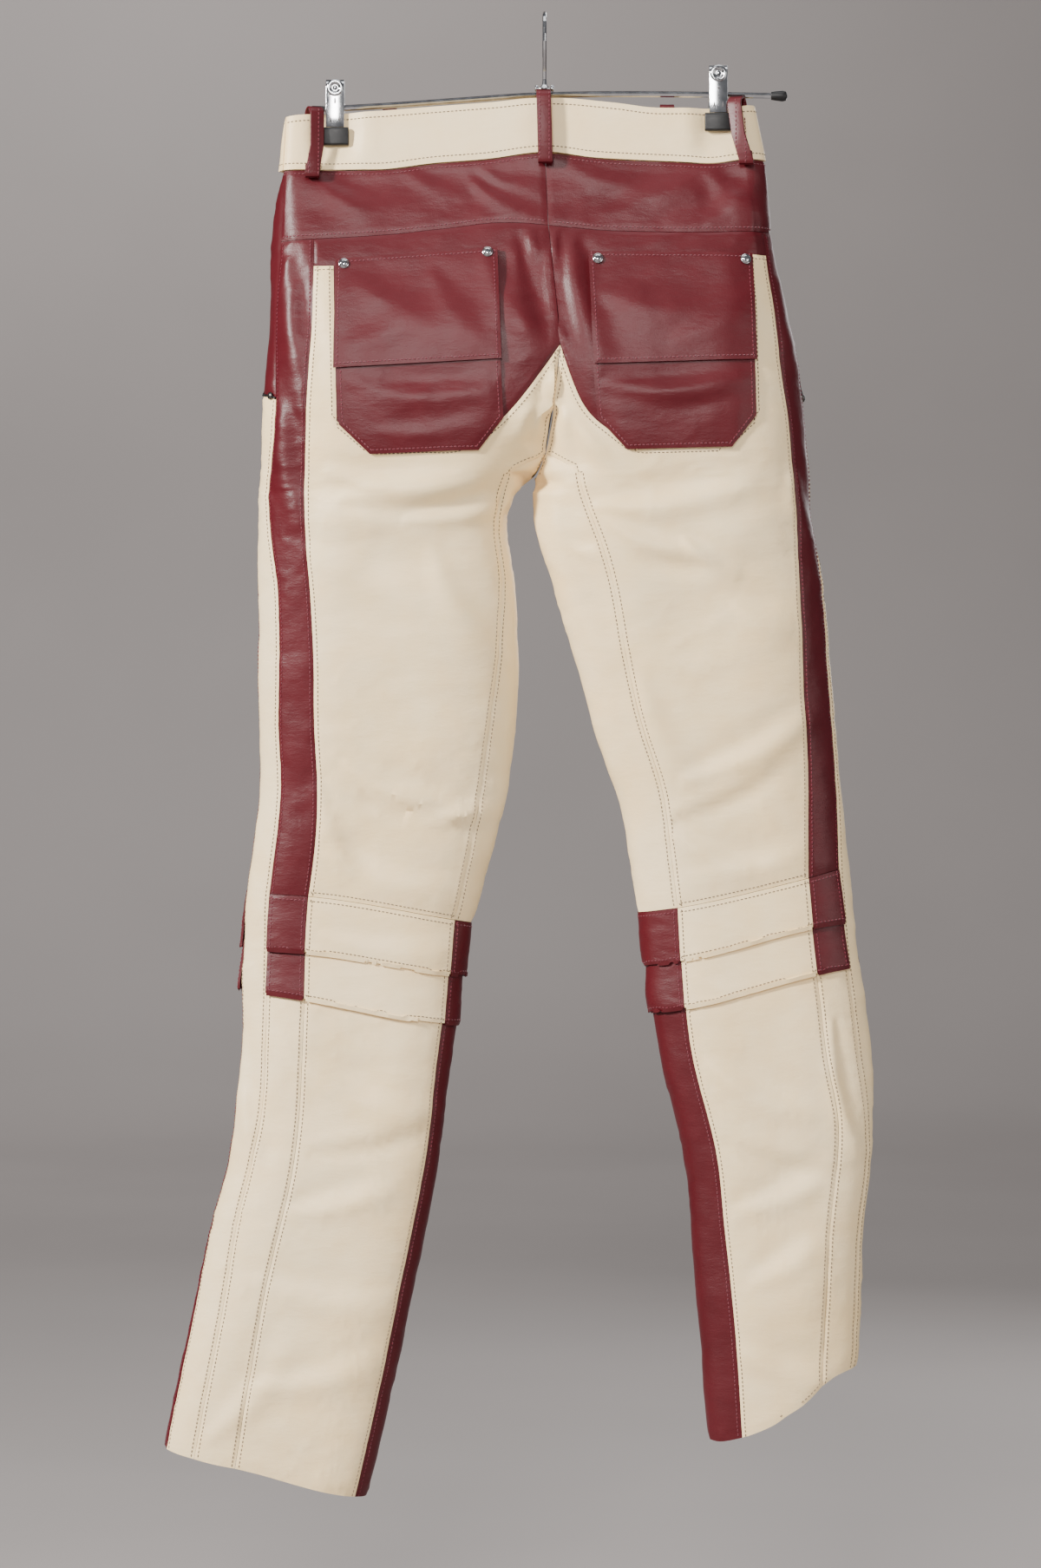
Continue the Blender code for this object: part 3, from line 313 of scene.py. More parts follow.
# The faces of a closed wall's outer layer
def outerFaces(mesh, leg):
    tree = BVHTree.FromBMesh(mesh)
    layer = set()
    for face in mesh.faces:
        centre = face.calc_center_median()
        hit = tree.ray_cast(centre - face.normal * 0.05 * mm, -face.normal)
        if hit[0] is None or hit[3] >= sheetRules["wall"] * mm:
            continue
        if hit[1].dot(face.normal) < sheetRules["facing"]:
            layer.add(face)
    best = (-1e9, [])
    while layer:
        todo = [layer.pop()]
        island = list(todo)
        score = 0.0
        while todo:
            face = todo.pop()
            centre = face.calc_center_median()
            side = leg or ("left" if centre.x < 0 else "right")
            score += face.calc_area() * face.normal.dot(outwards(centre, side))
            for edge in face.edges:
                for other in edge.link_faces:
                    if other in layer:
                        layer.discard(other)
                        island.append(other)
                        todo.append(other)
        if score > best[0]:
            best = (score, island)
    found = set(best[1])
    missed = [f for f in mesh.faces if f not in found and all(set(e.link_faces) & found for e in f.edges)]
    return list(found) + missed


# Makes an object's modifiers part of its mesh
def applied(thing):
    depsgraph = bpy.context.evaluated_depsgraph_get()
    mesh = bpy.data.meshes.new_from_object(thing.evaluated_get(depsgraph))
    old = thing.data
    thing.modifiers.clear()
    thing.data = mesh
    bpy.data.meshes.remove(old)


def coordsOf(mesh):
    flat = np.empty(3 * len(mesh.vertices))
    mesh.vertices.foreach_get("co", flat)
    return flat.reshape(-1, 3)


# Loop subdivision of a sheet of triangles, keeping its sharp corners
class Refiner:
    def __init__(self, points, triangles, levels):
        self.steps = []
        count = len(points)
        corners = None
        for _ in range(levels):
            pairs = np.concatenate([triangles[:, [0, 1]], triangles[:, [1, 2]], triangles[:, [2, 0]]])
            across = np.concatenate([triangles[:, 2], triangles[:, 0], triangles[:, 1]])
            edges, which = np.unique(np.sort(pairs, axis=1), axis=0, return_inverse=True)
            which = which.reshape(-1)
            uses = np.bincount(which, minlength=len(edges))
            rim = uses == 1
            if corners is None:
                corners = self.cornersOf(points, edges[rim])
            self.steps.append((count, edges, which, across, rim, corners))
            made = which.reshape(3, -1).T + count
            triangles = np.concatenate(
                [
                    np.column_stack([triangles[:, 0], made[:, 0], made[:, 2]]),
                    np.column_stack([made[:, 0], triangles[:, 1], made[:, 1]]),
                    np.column_stack([made[:, 2], made[:, 1], triangles[:, 2]]),
                    made,
                ]
            )
            count += len(edges)
        self.triangles = triangles

    # Outline points where the outline turns sharply
    def cornersOf(self, points, rim):
        beside = {}
        for a, b in rim:
            beside.setdefault(a, []).append(b)
            beside.setdefault(b, []).append(a)
        found = []
        for i, near in beside.items():
            if len(near) != 2:
                found.append(i)
                continue
            first, second = points[i] - points[near[0]], points[near[1]] - points[i]
            turn = first @ second / (np.linalg.norm(first) * np.linalg.norm(second))
            if turn < math.cos(math.radians(sheetRules["corner"])):
                found.append(i)
        return np.array(found, int)

    def refined(self, points):
        for count, edges, which, across, rim, corners in self.steps:
            first, second = points[edges[:, 0]], points[edges[:, 1]]
            facing = np.zeros((len(edges), 3))
            np.add.at(facing, which, points[across])
            middle = 0.375 * (first + second) + 0.125 * facing
            middle[rim] = 0.5 * (first[rim] + second[rim])
            near = np.zeros((count, 3))
            number = np.zeros(count)
            for a, b in ((0, 1), (1, 0)):
                np.add.at(near, edges[:, a], points[edges[:, b]])
                np.add.at(number, edges[:, a], 1)
            share = np.where(number > 3, 0.375 / np.maximum(number, 1), 0.1875)
            moved = (1 - number * share)[:, None] * points + share[:, None] * near
            outline = np.zeros((count, 3))
            onRim = np.zeros(count, bool)
            for a, b in ((0, 1), (1, 0)):
                np.add.at(outline, edges[rim, a], points[edges[rim, b]])
                onRim[edges[rim, a]] = True
            moved[onRim] = 0.75 * points[onRim] + 0.125 * outline[onRim]
            moved[corners] = points[corners]
            points = np.concatenate([moved, middle])
        return points


# Refines a sheet so that it still passes through its own points
def smoothSheet(thing, levels):
    goal = coordsOf(thing.data)
    triangles = np.empty(3 * len(thing.data.polygons), int)
    thing.data.polygons.foreach_get("vertices", triangles)
    refiner = Refiner(goal, triangles.reshape(-1, 3), levels)
    control = goal.copy()
    for _ in range(4):
        control = control + 0.9 * (goal - refiner.refined(control)[: len(goal)])
    mesh = bpy.data.meshes.new(thing.name)
    mesh.from_pydata(refiner.refined(control).tolist(), [], refiner.triangles.tolist())
    old = thing.data
    thing.data = mesh
    bpy.data.meshes.remove(old)


# Creases: face, ends in the photograph's pixels, width and height in millimetres
creaseColumns = ("face", "x0", "y0", "x1", "y1", "wide", "high")
creaseLook = {"high": 2.1, "bow": 0.06, "trough": 0.55, "troughAt": 1.5, "troughWide": 1.3}
creases = (
    ("back", 380, 545, 545, 560, 9, 1.6),
    ("back", 400, 585, 560, 570, 8, -1.4),
    ("back", 470, 600, 585, 575, 6, 1.6),
    ("back", 360, 640, 470, 690, 16, 1.8),
    ("back", 500, 640, 565, 760, 12, 1.4),
    ("back", 400, 880, 540, 940, 7, 1.6),
    ("back", 420, 915, 560, 955, 6, -1.5),
    ("back", 470, 945, 550, 935, 5, 1.6),
    ("back", 365, 905, 400, 1000, 8, 1.2),
    ("back", 380, 985, 500, 1030, 9, 1.5),
    ("back", 372, 1080, 500, 1100, 8, 1.0),
    ("back", 690, 585, 860, 560, 9, 1.8),
    ("back", 740, 640, 830, 655, 8, -1.5),
    ("back", 790, 625, 845, 660, 6, 1.8),
    ("back", 700, 600, 790, 640, 7, 1.3),
    ("back", 850, 700, 915, 730, 10, 1.4),
    ("back", 740, 790, 790, 900, 12, 1.6),
    ("back", 790, 900, 930, 830, 8, 1.7),
    ("back", 780, 945, 900, 890, 7, -1.5),
    ("back", 775, 960, 860, 1000, 7, 1.6),
    ("back", 790, 1010, 920, 985, 8, 1.3),
    ("back", 640, 590, 700, 760, 10, 1.3),
    ("back", 660, 630, 690, 640, 5, 1.2),
    ("back", 350, 1230, 470, 1290, 9, 1.6),
    ("back", 360, 1330, 480, 1310, 7, -1.4),
    ("back", 330, 1400, 450, 1370, 8, 1.6),
    ("back", 300, 1480, 440, 1510, 10, 1.4),
    ("back", 290, 1600, 420, 1580, 9, 1.4),
    ("back", 240, 1660, 330, 1560, 10, 1.2),
    ("back", 820, 1230, 930, 1290, 10, 1.8),
    ("back", 840, 1320, 960, 1360, 8, -1.5),
    ("back", 850, 1400, 950, 1360, 8, 1.7),
    ("back", 870, 1480, 940, 1440, 8, 1.5),
    ("back", 860, 1560, 960, 1600, 9, 1.5),
    ("back", 960, 1180, 990, 1330, 6, 1.4),
    ("back", 275, 1180, 290, 1330, 6, 1.3),
    ("back", 470, 195, 528, 222, 8, 1.0),
    ("back", 545, 205, 606, 240, 7, 1.3),
    ("back", 370, 205, 430, 250, 9, 0.9),
    ("back", 700, 245, 800, 200, 12, 1.0),
    ("back", 820, 250, 870, 205, 9, 0.9),
    ("back", 420, 330, 520, 390, 12, 1.0),
    ("back", 400, 400, 470, 370, 9, 0.8),
    ("back", 500, 320, 560, 400, 10, 0.9),
    ("back", 700, 340, 800, 365, 11, 1.0),
    ("back", 780, 395, 860, 350, 10, 0.9),
    ("back", 700, 445, 860, 440, 7, 1.0),
    ("back", 720, 478, 850, 470, 7, 0.9),
    ("back", 420, 460, 560, 450, 8, 0.9),
    ("back", 440, 500, 540, 492, 7, 0.7),
    ("back", 596, 290, 612, 380, 9, 1.3),
    ("back", 612, 270, 625, 330, 6, 1.1),
    ("back", 340, 330, 352, 470, 8, 0.9),
    ("back", 639, 425, 640, 466, 4, 2.3),
    ("back", 640, 466, 622, 478, 4, 2.1),
    ("back", 622, 478, 621, 500, 4, 1.9),
    ("back", 630, 428, 624, 462, 4, -1.4),
    ("back", 600, 545, 630, 538, 5, -1.2),
    ("back", 600, 515, 630, 524, 4, 1.4),
    ("back", 606, 560, 632, 564, 4, 1.2),
    ("back", 652, 480, 657, 530, 5, 1.3),
    ("back", 612, 470, 600, 500, 6, 1.6),
    ("back", 650, 470, 690, 520, 7, 1.8),
    ("back", 590, 545, 640, 556, 5, -2.4),
    ("back", 560, 300, 620, 400, 12, 1.6),
    ("back", 660, 280, 690, 410, 10, 1.6),
    ("back", 640, 270, 645, 390, 5, 1.2),
    ("back", 600, 270, 630, 330, 8, -1.2),
    ("back", 340, 200, 480, 235, 12, 1.2),
    ("back", 560, 195, 625, 215, 7, 1.2),
    ("back", 660, 190, 800, 215, 9, 1.2),
    ("back", 820, 195, 880, 245, 9, 1.3),
    ("back", 330, 300, 350, 420, 9, 1.5),
    ("back", 325, 470, 345, 600, 9, 1.5),
    ("back", 900, 320, 920, 420, 8, 1.5),
    ("back", 915, 540, 935, 620, 8, 1.6),
    ("back", 400, 330, 560, 370, 16, 0.9),
    ("back", 400, 440, 560, 455, 7, 1.2),
    ("back", 690, 330, 850, 360, 16, 0.9),
    ("back", 700, 445, 850, 440, 7, 1.4),
    ("back", 720, 480, 830, 470, 8, -1.0),
    ("front", 360, 420, 560, 470, 16, 1.8),
    ("front", 400, 520, 560, 500, 12, -1.6),
    ("front", 380, 700, 520, 740, 14, 1.6),
    ("front", 330, 960, 500, 920, 10, 1.8),
    ("front", 320, 1010, 480, 1040, 9, -1.6),
    ("front", 300, 1300, 460, 1260, 11, 1.7),
    ("front", 260, 1500, 420, 1540, 12, 1.6),
    ("front", 680, 480, 860, 430, 16, 1.8),
    ("front", 700, 540, 880, 560, 12, -1.6),
    ("front", 740, 720, 900, 690, 14, 1.6),
    ("front", 780, 930, 940, 960, 10, 1.8),
    ("front", 800, 1030, 960, 1000, 9, -1.6),
    ("front", 820, 1280, 980, 1320, 11, 1.7),
    ("front", 850, 1500, 970, 1470, 12, 1.6),
)


# The creases' height at each point, with a trough beside each ridge
def creaseLift(x, drop, back):
    total = np.zeros(len(x))
    for row in creases:
        crease = dict(zip(creaseColumns, row))
        x0, drop0 = placeOf(crease["x0"], crease["y0"])
        x1, drop1 = placeOf(crease["x1"], crease["y1"])
        length = math.hypot(x1 - x0, drop1 - drop0)
        wayX, wayDrop = (x1 - x0) / length, (drop1 - drop0) / length
        along = ((x - x0) * wayX + (drop - drop0) * wayDrop) / length
        across = (x - x0) * wayDrop - (drop - drop0) * wayX
        held = np.clip(along, 0, 1)
        across = across + creaseLook["bow"] * length * np.sin(math.pi * held)
        beyond = (along - held) * length
        wide = crease["wide"] * (0.55 + 0.9 * held * (1.6 - held))
        ridge = np.exp(-((across**2 + beyond**2) / wide**2))
        beside = across - creaseLook["troughAt"] * wide
        trough = np.exp(-((beside**2 + beyond**2) / (creaseLook["troughWide"] * wide) ** 2))
        taper = np.sin(math.pi * (0.12 + 0.76 * held)) ** 0.8
        side = back if crease["face"] == "back" else 1 - back
        total += creaseLook["high"] * crease["high"] * taper * (ridge - creaseLook["trough"] * trough) * side
    return total


# Soft noise at points in millimetres, with its own size each way
def noiseAt(points, sizes, shift):
    scaled = points / np.array(sizes) + shift
    return np.array([noise.noise(Vector(p)) for p in scaled])


# Smaller folds: slack across the leg, drag lines, and short soft wrinkles
def fineLift(points, calm):
    broad = noiseAt(points, (60, 60, 38), 3.1)
    slack = noiseAt(points, (34, 30, 13), 11.7)
    short = noiseAt(points, (13, 13, 8), 29.3)
    where = np.clip(0.5 + 1.4 * noiseAt(points, (70, 70, 80), 47.9), 0, 1)
    sharp = (1 - np.abs(slack) * 2.2).clip(0, 1) ** 3
    return calm * (0.9 * broad + 0.55 * slack + 0.55 * sharp * where + 0.28 * short * where)


stitchStore = {}
shells = {}
outlines = {}


# A sheet's outlines as runs of vertices
def boundaryLoops(mesh):
    ways = {}
    for edge in mesh.edges:
        if edge.is_boundary:
            for vertex, other in ((edge.verts[0], edge.verts[1]), (edge.verts[1], edge.verts[0])):
                ways.setdefault(vertex, []).append(other)
    loops = []
    left = set(ways)
    while left:
        start = min(left, key=lambda vertex: vertex.index)
        loop = [start]
        left.discard(start)
        current = start
        while True:
            nexts = [other for other in ways[current] if other in left]
            if not nexts:
                break
            current = nexts[0]
            left.discard(current)
            loop.append(current)
        loops.append(loop)
    return loops


# One stitch: a short thread that dips into the leather at both ends
def putStitch(store, place, along, normal, size):
    along = (along - normal * along.dot(normal)).normalized()
    side = normal.cross(along)
    length, radius = size
    base = len(store["points"])
    store["points"].append(place - along * length / 2 - normal * radius * 0.5)
    for end in (-0.3, 0.3):
        for out, up in ((1, 0), (0, 1), (-1, 0), (0, -0.6)):
            around = side * out + normal * (up * 0.8 + 0.25)
            store["points"].append(place + along * length * end + around * radius)
    store["points"].append(place + along * length / 2 - normal * radius * 0.5)
    for k in range(4):
        after = (k + 1) % 4
        store["faces"].append((base, base + 1 + after, base + 1 + k))
        store["faces"].append((base + 1 + k, base + 1 + after, base + 5 + after, base + 5 + k))
        store["faces"].append((base + 9, base + 5 + k, base + 5 + after))


# Stitches at an even pitch along a line of places on the leather
def stitchAlong(key, places, normals, pitch=3.3, size=(2.4 * mm, 0.42 * mm)):
    store = stitchStore.setdefault(key, {"points": [], "faces": []})
    carried = pitch * mm / 2
    for i in range(len(places) - 1):
        step = places[i + 1] - places[i]
        length = step.length
        if length < 1e-6 or length > 0.03:
            continue
        while carried < length:
            share = carried / length
            normal = normals[i].lerp(normals[i + 1], share).normalized()
            putStitch(store, places[i] + step * share, step, normal, size)
            carried += pitch * mm
        carried -= length


# A row of stitches inside a sheet's outline, where keep allows it
def seamStitches(sheetMesh, key, inset, keep, pitch=3.1):
    tree = BVHTree.FromBMesh(sheetMesh)
    for loop in boundaryLoops(sheetMesh):
        places, normals = [], []
        count = len(loop)
        for i in range(count + 1):
            vertex = loop[i % count]
            tangent = (loop[(i + 1) % count].co - loop[i - 1 if i else -1].co).normalized()
            inside = Vector()
            for face in vertex.link_faces:
                inside += face.calc_center_median() - vertex.co
            inside -= vertex.normal * inside.dot(vertex.normal)
            inside -= tangent * inside.dot(tangent)
            if inside.length < 1e-9:
                continue
            place = vertex.co + inside.normalized() * inset * mm
            near = tree.find_nearest(place)
            drop = -vertex.co.z / mm
            if near[0] is None or not keep(vertex.co.x / mm, drop, vertex.co.y / mm, tangent):
                if len(places) > 1:
                    stitchAlong(key, places, normals, pitch)
                places, normals = [], []
                continue
            places.append(near[0])
            normals.append(near[1] if near[1].dot(vertex.normal) > 0 else -near[1])
        if len(places) > 1:
            stitchAlong(key, places, normals, pitch)


# The width, length and area of a sheet laid out flat
def flatSize(mesh):
    area = 0.0
    bins = {}
    low = min(vertex.co.z for vertex in mesh.verts)
    high = max(vertex.co.z for vertex in mesh.verts)
    for face in mesh.faces:
        size = face.calc_area()
        area += size
        key = int((face.calc_center_median().z - low) / 0.02)
        bins[key] = bins.get(key, 0.0) + size / 0.02
    edge = sum(side.calc_length() for side in mesh.edges if side.is_boundary)
    if high - low > 0.13:
        length = high - low
        wide = max(max(bins.values()), area / length)
        return (wide, length), area
    inside = max(0.0, (edge / 2) ** 2 - 4 * area)
    long = (edge / 2 + math.sqrt(inside)) / 2
    return (area / long, long), area


# A piece of leather on its solid's form, with creases, soft seams and stitches
def shell(node, slot, wall=1.7, calm=1.0, dip=0.8, stitches=()):
    leg = "left" if node.endswith("left") else "right" if node.endswith("right") else None
    mesh = bmesh.new()
    mesh.from_mesh(bpy.data.objects[node].data)
    mesh.transform(bpy.data.objects[node].matrix_world)
    bmesh.ops.remove_doubles(mesh, verts=mesh.verts, dist=1e-5)
    kept = set(outerFaces(mesh, leg))
    bmesh.ops.delete(mesh, geom=[face for face in mesh.faces if face not in kept], context="FACES")
    bmesh.ops.recalc_face_normals(mesh, faces=mesh.faces)
    facing = 0.0
    for face in mesh.faces:
        centre = face.calc_center_median()
        way = outwards(centre, leg) if leg else Vector((0, math.copysign(1, centre.y), 0))
        facing += face.calc_area() * face.normal.dot(way)
    if facing < 0:
        bmesh.ops.reverse_faces(mesh, faces=mesh.faces)
    data = bpy.data.meshes.new(node + "_leather")
    mesh.to_mesh(data)
    mesh.free()
    thing = bpy.data.objects.new(node + "_leather", data)
    bpy.context.scene.collection.objects.link(thing)
    smoothSheet(thing, sheetRules["levels"])
    mesh = bmesh.new()
    mesh.from_mesh(thing.data)
    inset = {"thickness": sheetRules["rim"] * mm, "use_boundary": True, "use_even_offset": True}
    bmesh.ops.inset_region(mesh, faces=mesh.faces, **inset)
    mesh.verts.index_update()
    flat, area = flatSize(mesh)
    mesh.normal_update()
    rim = [vertex for vertex in mesh.verts if vertex.is_boundary]
    tree = KDTree(len(rim))
    for i, vertex in enumerate(rim):
        tree.insert(vertex.co, i)
    tree.balance()
    points = np.array([vertex.co[:] for vertex in mesh.verts]) / mm
    normals = np.array([vertex.normal[:] for vertex in mesh.verts])
    away = np.array([tree.find(vertex.co)[2] for vertex in mesh.verts]) / mm
    back = 1 / (1 + np.exp(points[:, 1] / 4.0))
    lift = creaseLift(points[:, 0], -points[:, 2], back) * min(1.0, calm * 1.2)
    lift += fineLift(points, calm)
    pucker = noiseAt(points, (7, 7, 6), 71.3)
    lift += 0.55 * calm * pucker * np.exp(-away / 7.0)
    lift *= 1 - 0.45 * np.exp(-away / 4.0)
    lift -= dip * np.exp(-((away / 1.7) ** 2))
    moved = (points + normals * lift[:, None]) * mm
    for vertex, place in zip(mesh.verts, moved):
        vertex.co = place
    mesh.normal_update()
    for key, inset, keep in stitches:
        seamStitches(mesh, key, inset, keep)
    outline = [vertex for loop in boundaryLoops(mesh) for vertex in loop]
    outlines[node] = [(vertex.co.copy(), vertex.normal.copy()) for vertex in outline]
    mesh.to_mesh(thing.data)
    mesh.free()
    thick = thing.modifiers.new("wall", "SOLIDIFY")
    thick.thickness = wall * mm
    thick.offset = -1
    thick.use_rim = True
    applied(thing)
    thing.data.shade_smooth()
    thing.data.set_sharp_from_angle(angle=math.radians(sheetRules["sharp"]))
    thing.data.materials.clear()
    thing.data.materials.append(finishes[slot])
    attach(thing, "root")
    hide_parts(node)
    shells[node] = thing


def everywhere(x, drop, y, way):
    return True


def onSides(x, drop, y, way):
    return abs(way.z) > 0.6


def onEnds(x, drop, y, way):
    return abs(way.z) < 0.6


creamRow = (("thread_cream", 3.2, everywhere),)
wineRow = (("thread_burgundy", 3.0, everywhere),)
bandRow = (("thread_cream", 4.6, onEnds),)
for face in ("back", "front"):
    shell(f"waistband_{face}", "leather_cream", wall=2.3, calm=0.25, dip=0.3, stitches=bandRow)
for leg in ("left", "right"):
    shell(f"yoke_{leg}", "leather_burgundy", calm=0.6, stitches=(("thread_burgundy", 3.0, onEnds),))
    shell(f"seat_{leg}", "leather_burgundy", calm=0.9)
    shell(f"pocket_{leg}", "leather_burgundy", wall=1.4, calm=0.5, dip=0.25, stitches=wineRow)
    shell(f"pocket_patch_{leg}", "leather_burgundy", wall=1.4, calm=0.5, dip=0.25, stitches=wineRow)
    shell(f"thigh_back_{leg}", "leather_cream", stitches=creamRow)
    shell(f"side_stripe_{leg}", "leather_burgundy", stitches=(("thread_burgundy", 2.6, onSides),))
    shell(f"side_strip_{leg}", "leather_cream", stitches=(("thread_cream", 2.6, onSides),))
    shell(f"hip_facing_{leg}", "leather_burgundy")
    shell(f"front_{leg}", "leather_burgundy", stitches=(("thread_burgundy", 3.0, onSides),))
    shell(f"inner_thigh_{leg}", "leather_cream", stitches=(("thread_cream", 2.8, onSides),))
    for band in ("upper", "lower"):
        shell(f"knee_{band}_end_{leg}", "leather_burgundy", calm=0.5, dip=0.2, stitches=wineRow)
        shell(f"knee_{band}_back_{leg}", "leather_cream", calm=0.6, dip=0.2, stitches=creamRow)
        shell(f"knee_{band}_front_{leg}", "leather_burgundy", calm=0.6, dip=0.2, stitches=wineRow)
    shell(f"calf_strip_{leg}", "leather_cream", stitches=(("thread_cream", 2.6, onSides),))
    shell(f"calf_back_{leg}", "leather_cream", stitches=(("thread_cream", 2.8, onSides),))
    shell(f"shin_{leg}", "leather_burgundy", stitches=(("thread_burgundy", 2.8, onSides),))
print("leather", sum(len(thing.data.polygons) for thing in shells.values()))


def piece(name, points, faces, finish, nodes=()):
    mesh = bpy.data.meshes.new(name)
    mesh.from_pydata([tuple(point) for point in points], [], faces)
    mesh.update()
    mesh.shade_smooth()
    mesh.materials.append(finish)
    made = bpy.data.objects.new(name, mesh)
    bpy.context.scene.collection.objects.link(made)
    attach(made, "root")
    if nodes:
        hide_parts(*nodes)
    return made


# A solid's own shape with its edges worn round
def rounded(node, finish, bevel):
    source = bpy.data.objects[node]
    mesh = bmesh.new()
    mesh.from_mesh(source.data)
    mesh.transform(source.matrix_world)
    bmesh.ops.remove_doubles(mesh, verts=mesh.verts, dist=1e-5)
    bmesh.ops.dissolve_limit(mesh, angle_limit=math.radians(1), verts=mesh.verts, edges=mesh.edges)
    data = bpy.data.meshes.new(node + "_piece")
    mesh.to_mesh(data)
    mesh.free()
    made = bpy.data.objects.new(node + "_piece", data)
    bpy.context.scene.collection.objects.link(made)
    cut = made.modifiers.new("bevel", "BEVEL")
    cut.width = bevel * mm
    cut.segments = 3
    cut.limit_method = "ANGLE"
    cut.angle_limit = math.radians(35)
    applied(made)
    made.data.shade_smooth()
    made.data.set_sharp_from_angle(angle=math.radians(60))
    made.data.materials.clear()
    made.data.materials.append(finish)
    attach(made, "root")
    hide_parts(node)


# Two rows of stitches down the outer face of a belt loop
def loopStitches(node):
    made = bpy.data.objects[node + "_piece"]
    mesh = bmesh.new()
    mesh.from_mesh(made.data)
    tree = BVHTree.FromBMesh(mesh)
    low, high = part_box(node)
    middle = (Vector(low) + Vector(high)) / 2
    side = -1 if middle.y < 0 else 1
    for across in (-3.6, 3.6):
        places, normals = [], []
        for step in range(40):
            z = high[2] - 0.002 - (high[2] - low[2] - 0.004) * step / 39
            hit = tree.ray_cast(Vector((middle.x + across * mm, side * 0.06, z)), Vector((0, -side, 0)))
            if hit[0] is not None:
                places.append(hit[0])
                normals.append(hit[1])
        if len(places) > 1:
            stitchAlong("thread_burgundy", places, normals)
    mesh.free()


for loop in ("loop_back_left", "loop_back_centre", "loop_back_right", "loop_front_left", "loop_front_right"):
    rounded(loop, wineLeather, 0.5)
    loopStitches(loop)


# A turned piece: its profile gives the radius and the height, both in millimetres
def lathe(name, profile, base, axis, sides, finish, nodes):
    axis = Vector(axis).normalized()
    across = axis.cross(Vector((0, 0, 1)))
    if across.length < 0.1:
        across = axis.cross(Vector((1, 0, 0)))
    across.normalize()
    other = axis.cross(across)
    points, faces = [], []
    for out, high in profile:
        for k in range(sides):
            angle = 2 * math.pi * k / sides
            around = across * math.cos(angle) + other * math.sin(angle)
            points.append(base + axis * high * mm + around * out * mm)
    for ring in range(len(profile) - 1):
        for k in range(sides):
            a, b = ring * sides + k, ring * sides + (k + 1) % sides
            faces.append((a, b, b + sides, a + sides))
    faces.append(tuple(reversed(range(sides))))
    faces.append(tuple(range((len(profile) - 1) * sides, len(profile) * sides)))
    return piece(name, points, faces, finish, nodes)


# The middle of a stud's foot and the way it faces
def studFrame(node):
    points = coordsOf(bpy.data.objects[node].data)
    points = points[np.lexsort(points.T)]
    centre = points.mean(axis=0)
    values, ways = np.linalg.eigh(np.cov((points - centre).T))
    axis = ways[:, 0]
    if axis @ np.array((centre[0] * 0.3, centre[1], 0)) < 0:
        axis = -axis
    heights = (points - centre) @ axis
    return Vector(centre + axis * heights.min()), Vector(axis)


# A round rod along a path, closed at both ends
def tubeMesh(path, radius, sides):
    points, faces = [], []
    for i, centre in enumerate(path):
        along = (path[min(len(path) - 1, i + 1)] - path[max(0, i - 1)]).normalized()
        side = along.cross(Vector((0.3, 1, 0.2))).normalized()
        other = along.cross(side)
        for k in range(sides):
            angle = 2 * math.pi * k / sides
            points.append(centre + (side * math.cos(angle) + other * math.sin(angle)) * radius * mm)
    for i in range(len(path) - 1):
        for k in range(sides):
            a, b = i * sides + k, i * sides + (k + 1) % sides
            faces.append((a, b, b + sides, a + sides))
    faces.append(tuple(reversed(range(sides))))
    faces.append(tuple(range((len(path) - 1) * sides, len(path) * sides)))
    return points, faces


def joined(name, parts, finish):
    points, faces = [], []
    for more, cells in parts:
        shift = len(points)
        points += more
        faces += [tuple(shift + i for i in cell) for cell in cells]
    return piece(name, points, faces, finish)


# Turned profiles, each ring's radius and height
eyeProfile = (
    (6.4, 0.0), (6.5, 0.5), (6.2, 1.1), (5.4, 1.5), (4.2, 1.5), (3.4, 1.1), (3.0, 0.4), (1.6, 0.9),
    (0.3, 1.1),
)
rivetProfile = (
    (3.6, 0.0), (4.0, 0.15), (4.0, 0.5), (3.7, 0.75), (3.3, 0.8), (3.2, 1.0), (2.9, 1.5), (2.3, 1.9),
    (1.4, 2.15), (0.5, 2.2),
)
hipProfile = ((2.6, 0.0), (2.9, 0.2), (2.8, 0.8), (2.3, 1.5), (1.4, 2.0), (0.4, 2.2))
buttonProfile = (
    (7.9, 0.0), (8.5, 0.3), (8.5, 1.8), (8.1, 2.4), (7.2, 2.6), (6.6, 2.2), (6.0, 1.9), (4.5, 1.9),
    (3.6, 2.2), (2.4, 2.6), (1.0, 2.7),
)
for leg in ("left", "right"):
    for end in ("outer", "inner"):
        node = f"rivet_{leg}_{end}"
        base, axis = studFrame(node)
        lathe(node + "_piece", rivetProfile, base, axis, 36, chrome, (node,))
    node = f"rivet_hip_{leg}"
    base, axis = studFrame(node)
    lathe(node + "_piece", hipProfile, base, axis, 28, darkMetal, (node,))
base, axis = studFrame("waist_button")
lathe("waist_button_piece", buttonProfile, base, axis, 48, chrome, ("waist_button",))
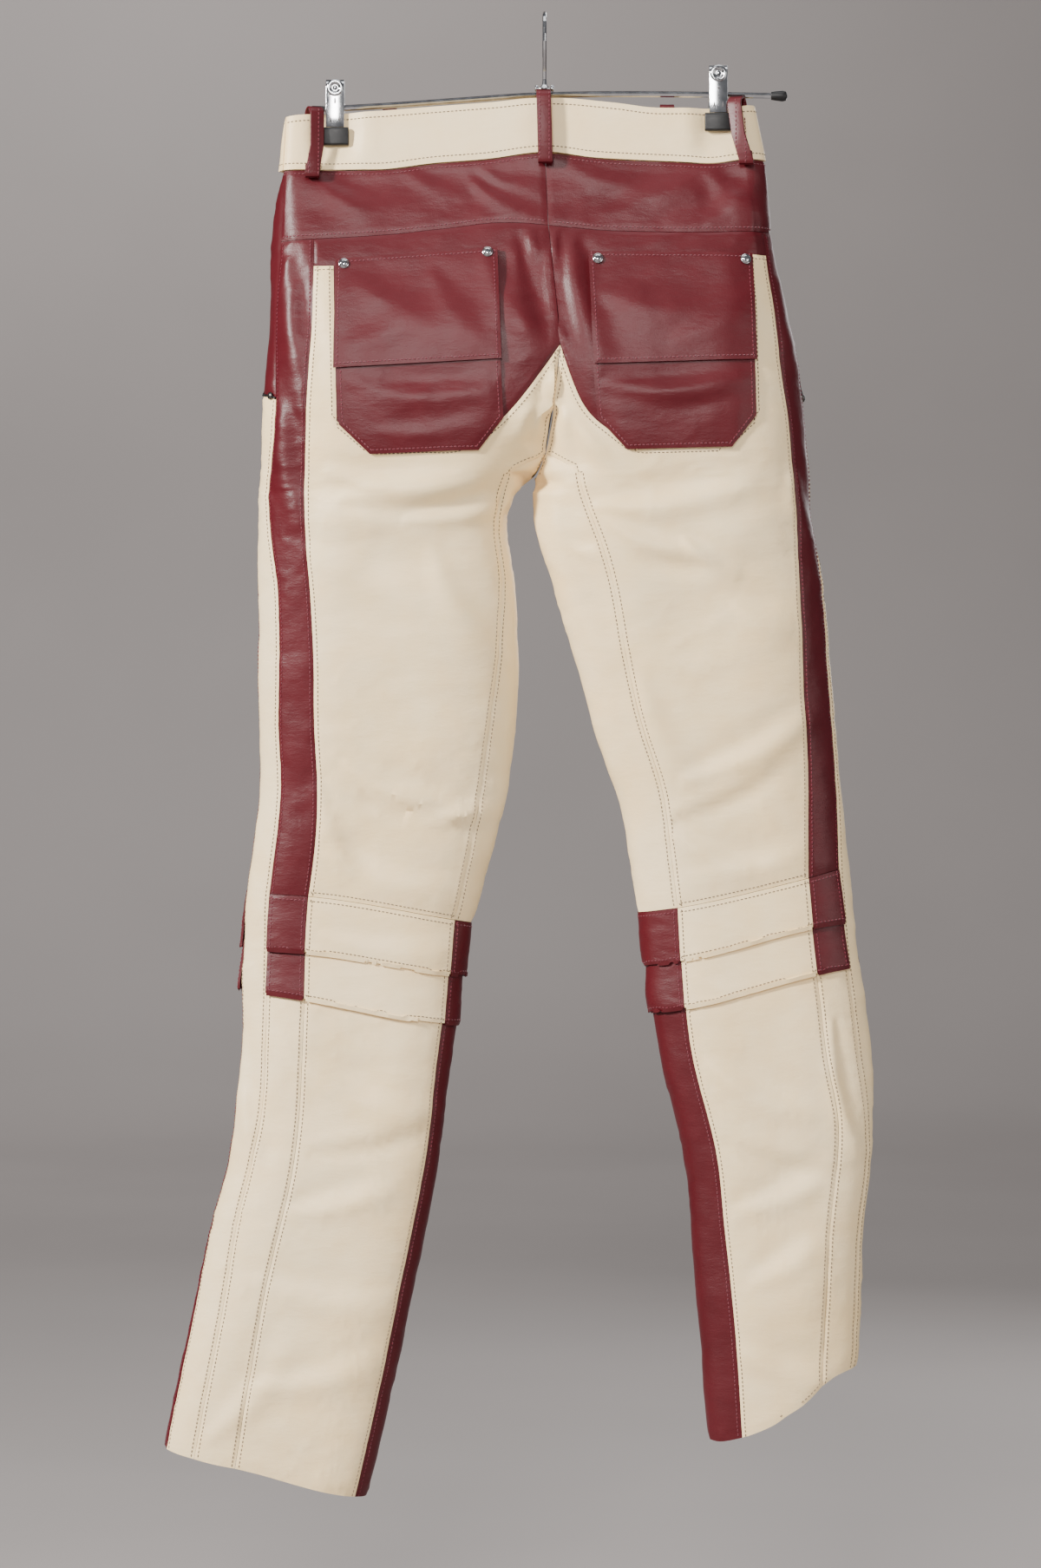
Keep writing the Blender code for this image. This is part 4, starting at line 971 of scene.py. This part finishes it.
# A clip's pivot eye and its pressed ribs. Each rib has its place across and its ends' drops from the clip's
# top, and its top end lies further in than its foot.
clip = {
    "eyeDrop": 7.2,
    "front": 1.9,
    "foot": 0.5,
    "rib": 0.75,
    "ribs": ((-3.3, 16.5, 33.0), (0.0, 15.0, 19.0), (3.3, 16.5, 33.0)),
}
for node in ("clip_left", "clip_right"):
    rounded(node, chrome, 0.35)
    low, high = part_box(node)
    middle = (low.x + high.x) / 2
    eye = Vector((middle, low.y + clip["front"] * mm, high.z - clip["eyeDrop"] * mm))
    lathe(node + "_eye", eyeProfile, eye, (0, -1, 0), 40, chrome, ())
    ribs = []
    for side, top, foot in clip["ribs"]:
        path = [
            Vector((middle + side * mm, low.y + shift * mm, high.z - drop * mm))
            for shift, drop in ((clip["front"], top), (clip["foot"], foot))
        ]
        ribs.append(tubeMesh(path, clip["rib"], 10))
    joined(node + "_ribs", ribs, chrome)
for node in ("clip_tip_left", "clip_tip_right"):
    rounded(node, blackRubber, 0.7)
for node in ("bar_cap_left", "bar_cap_right"):
    rounded(node, blackRubber, 0.4)
for node in ("hanger_bar", "hanger_hook"):
    carried = bpy.data.objects[node]
    carried.data.materials.clear()
    carried.data.materials.append(chrome)

# The bracket at the hook's foot: a pin across, and an upright at each end of it
bracket = {"drop": placeOf(630, 93.5)[1], "half": 6.0, "depth": -3.4, "upright": 2.2, "pin": 1.0, "post": 1.2}
pinEnds = [Vector((side * bracket["half"], bracket["depth"], -bracket["drop"])) * mm for side in (-1, 1)]
rods = [tubeMesh(pinEnds, bracket["pin"], 12)]
for end in pinEnds:
    rise = Vector((0, 0, bracket["upright"] * mm))
    rods.append(tubeMesh([end + rise, end - rise], bracket["post"], 12))
joined("hook_bracket", rods, chrome)

# Painted shade: a black rod along each hip pocket's mouth, on the facing's edge where it meets the side
# strip, stands in for the shade inside the opening
mouthShade = {"out": 0.7, "reach": 2.2, "radius": 0.9}
for leg in ("left", "right"):
    near = [place for place, normal in outlines[f"side_strip_{leg}"]]
    mouth = [
        place + normal * mouthShade["out"] * mm
        for place, normal in outlines[f"hip_facing_{leg}"]
        if min((place - other).length for other in near) < mouthShade["reach"] * mm
    ]
    gaps = [(mouth[i] - mouth[i - 1]).length for i in range(len(mouth))]
    start = gaps.index(max(gaps))
    mouth = mouth[start:] + mouth[:start]
    joined(f"mouth_shade_{leg}", [tubeMesh(mouth, mouthShade["radius"], 10)], blackRubber)

threads = {
    "thread_cream": (creamThreadPaintedShade, "leather_cream"),
    "thread_burgundy": (wineThread, "leather_burgundy"),
}
for key, store in stitchStore.items():
    finish, slot = threads[key]
    piece("stitches_" + key.split("_")[1], store["points"], store["faces"], finish)
    print(key, len(store["faces"]) // 12, "stitches")
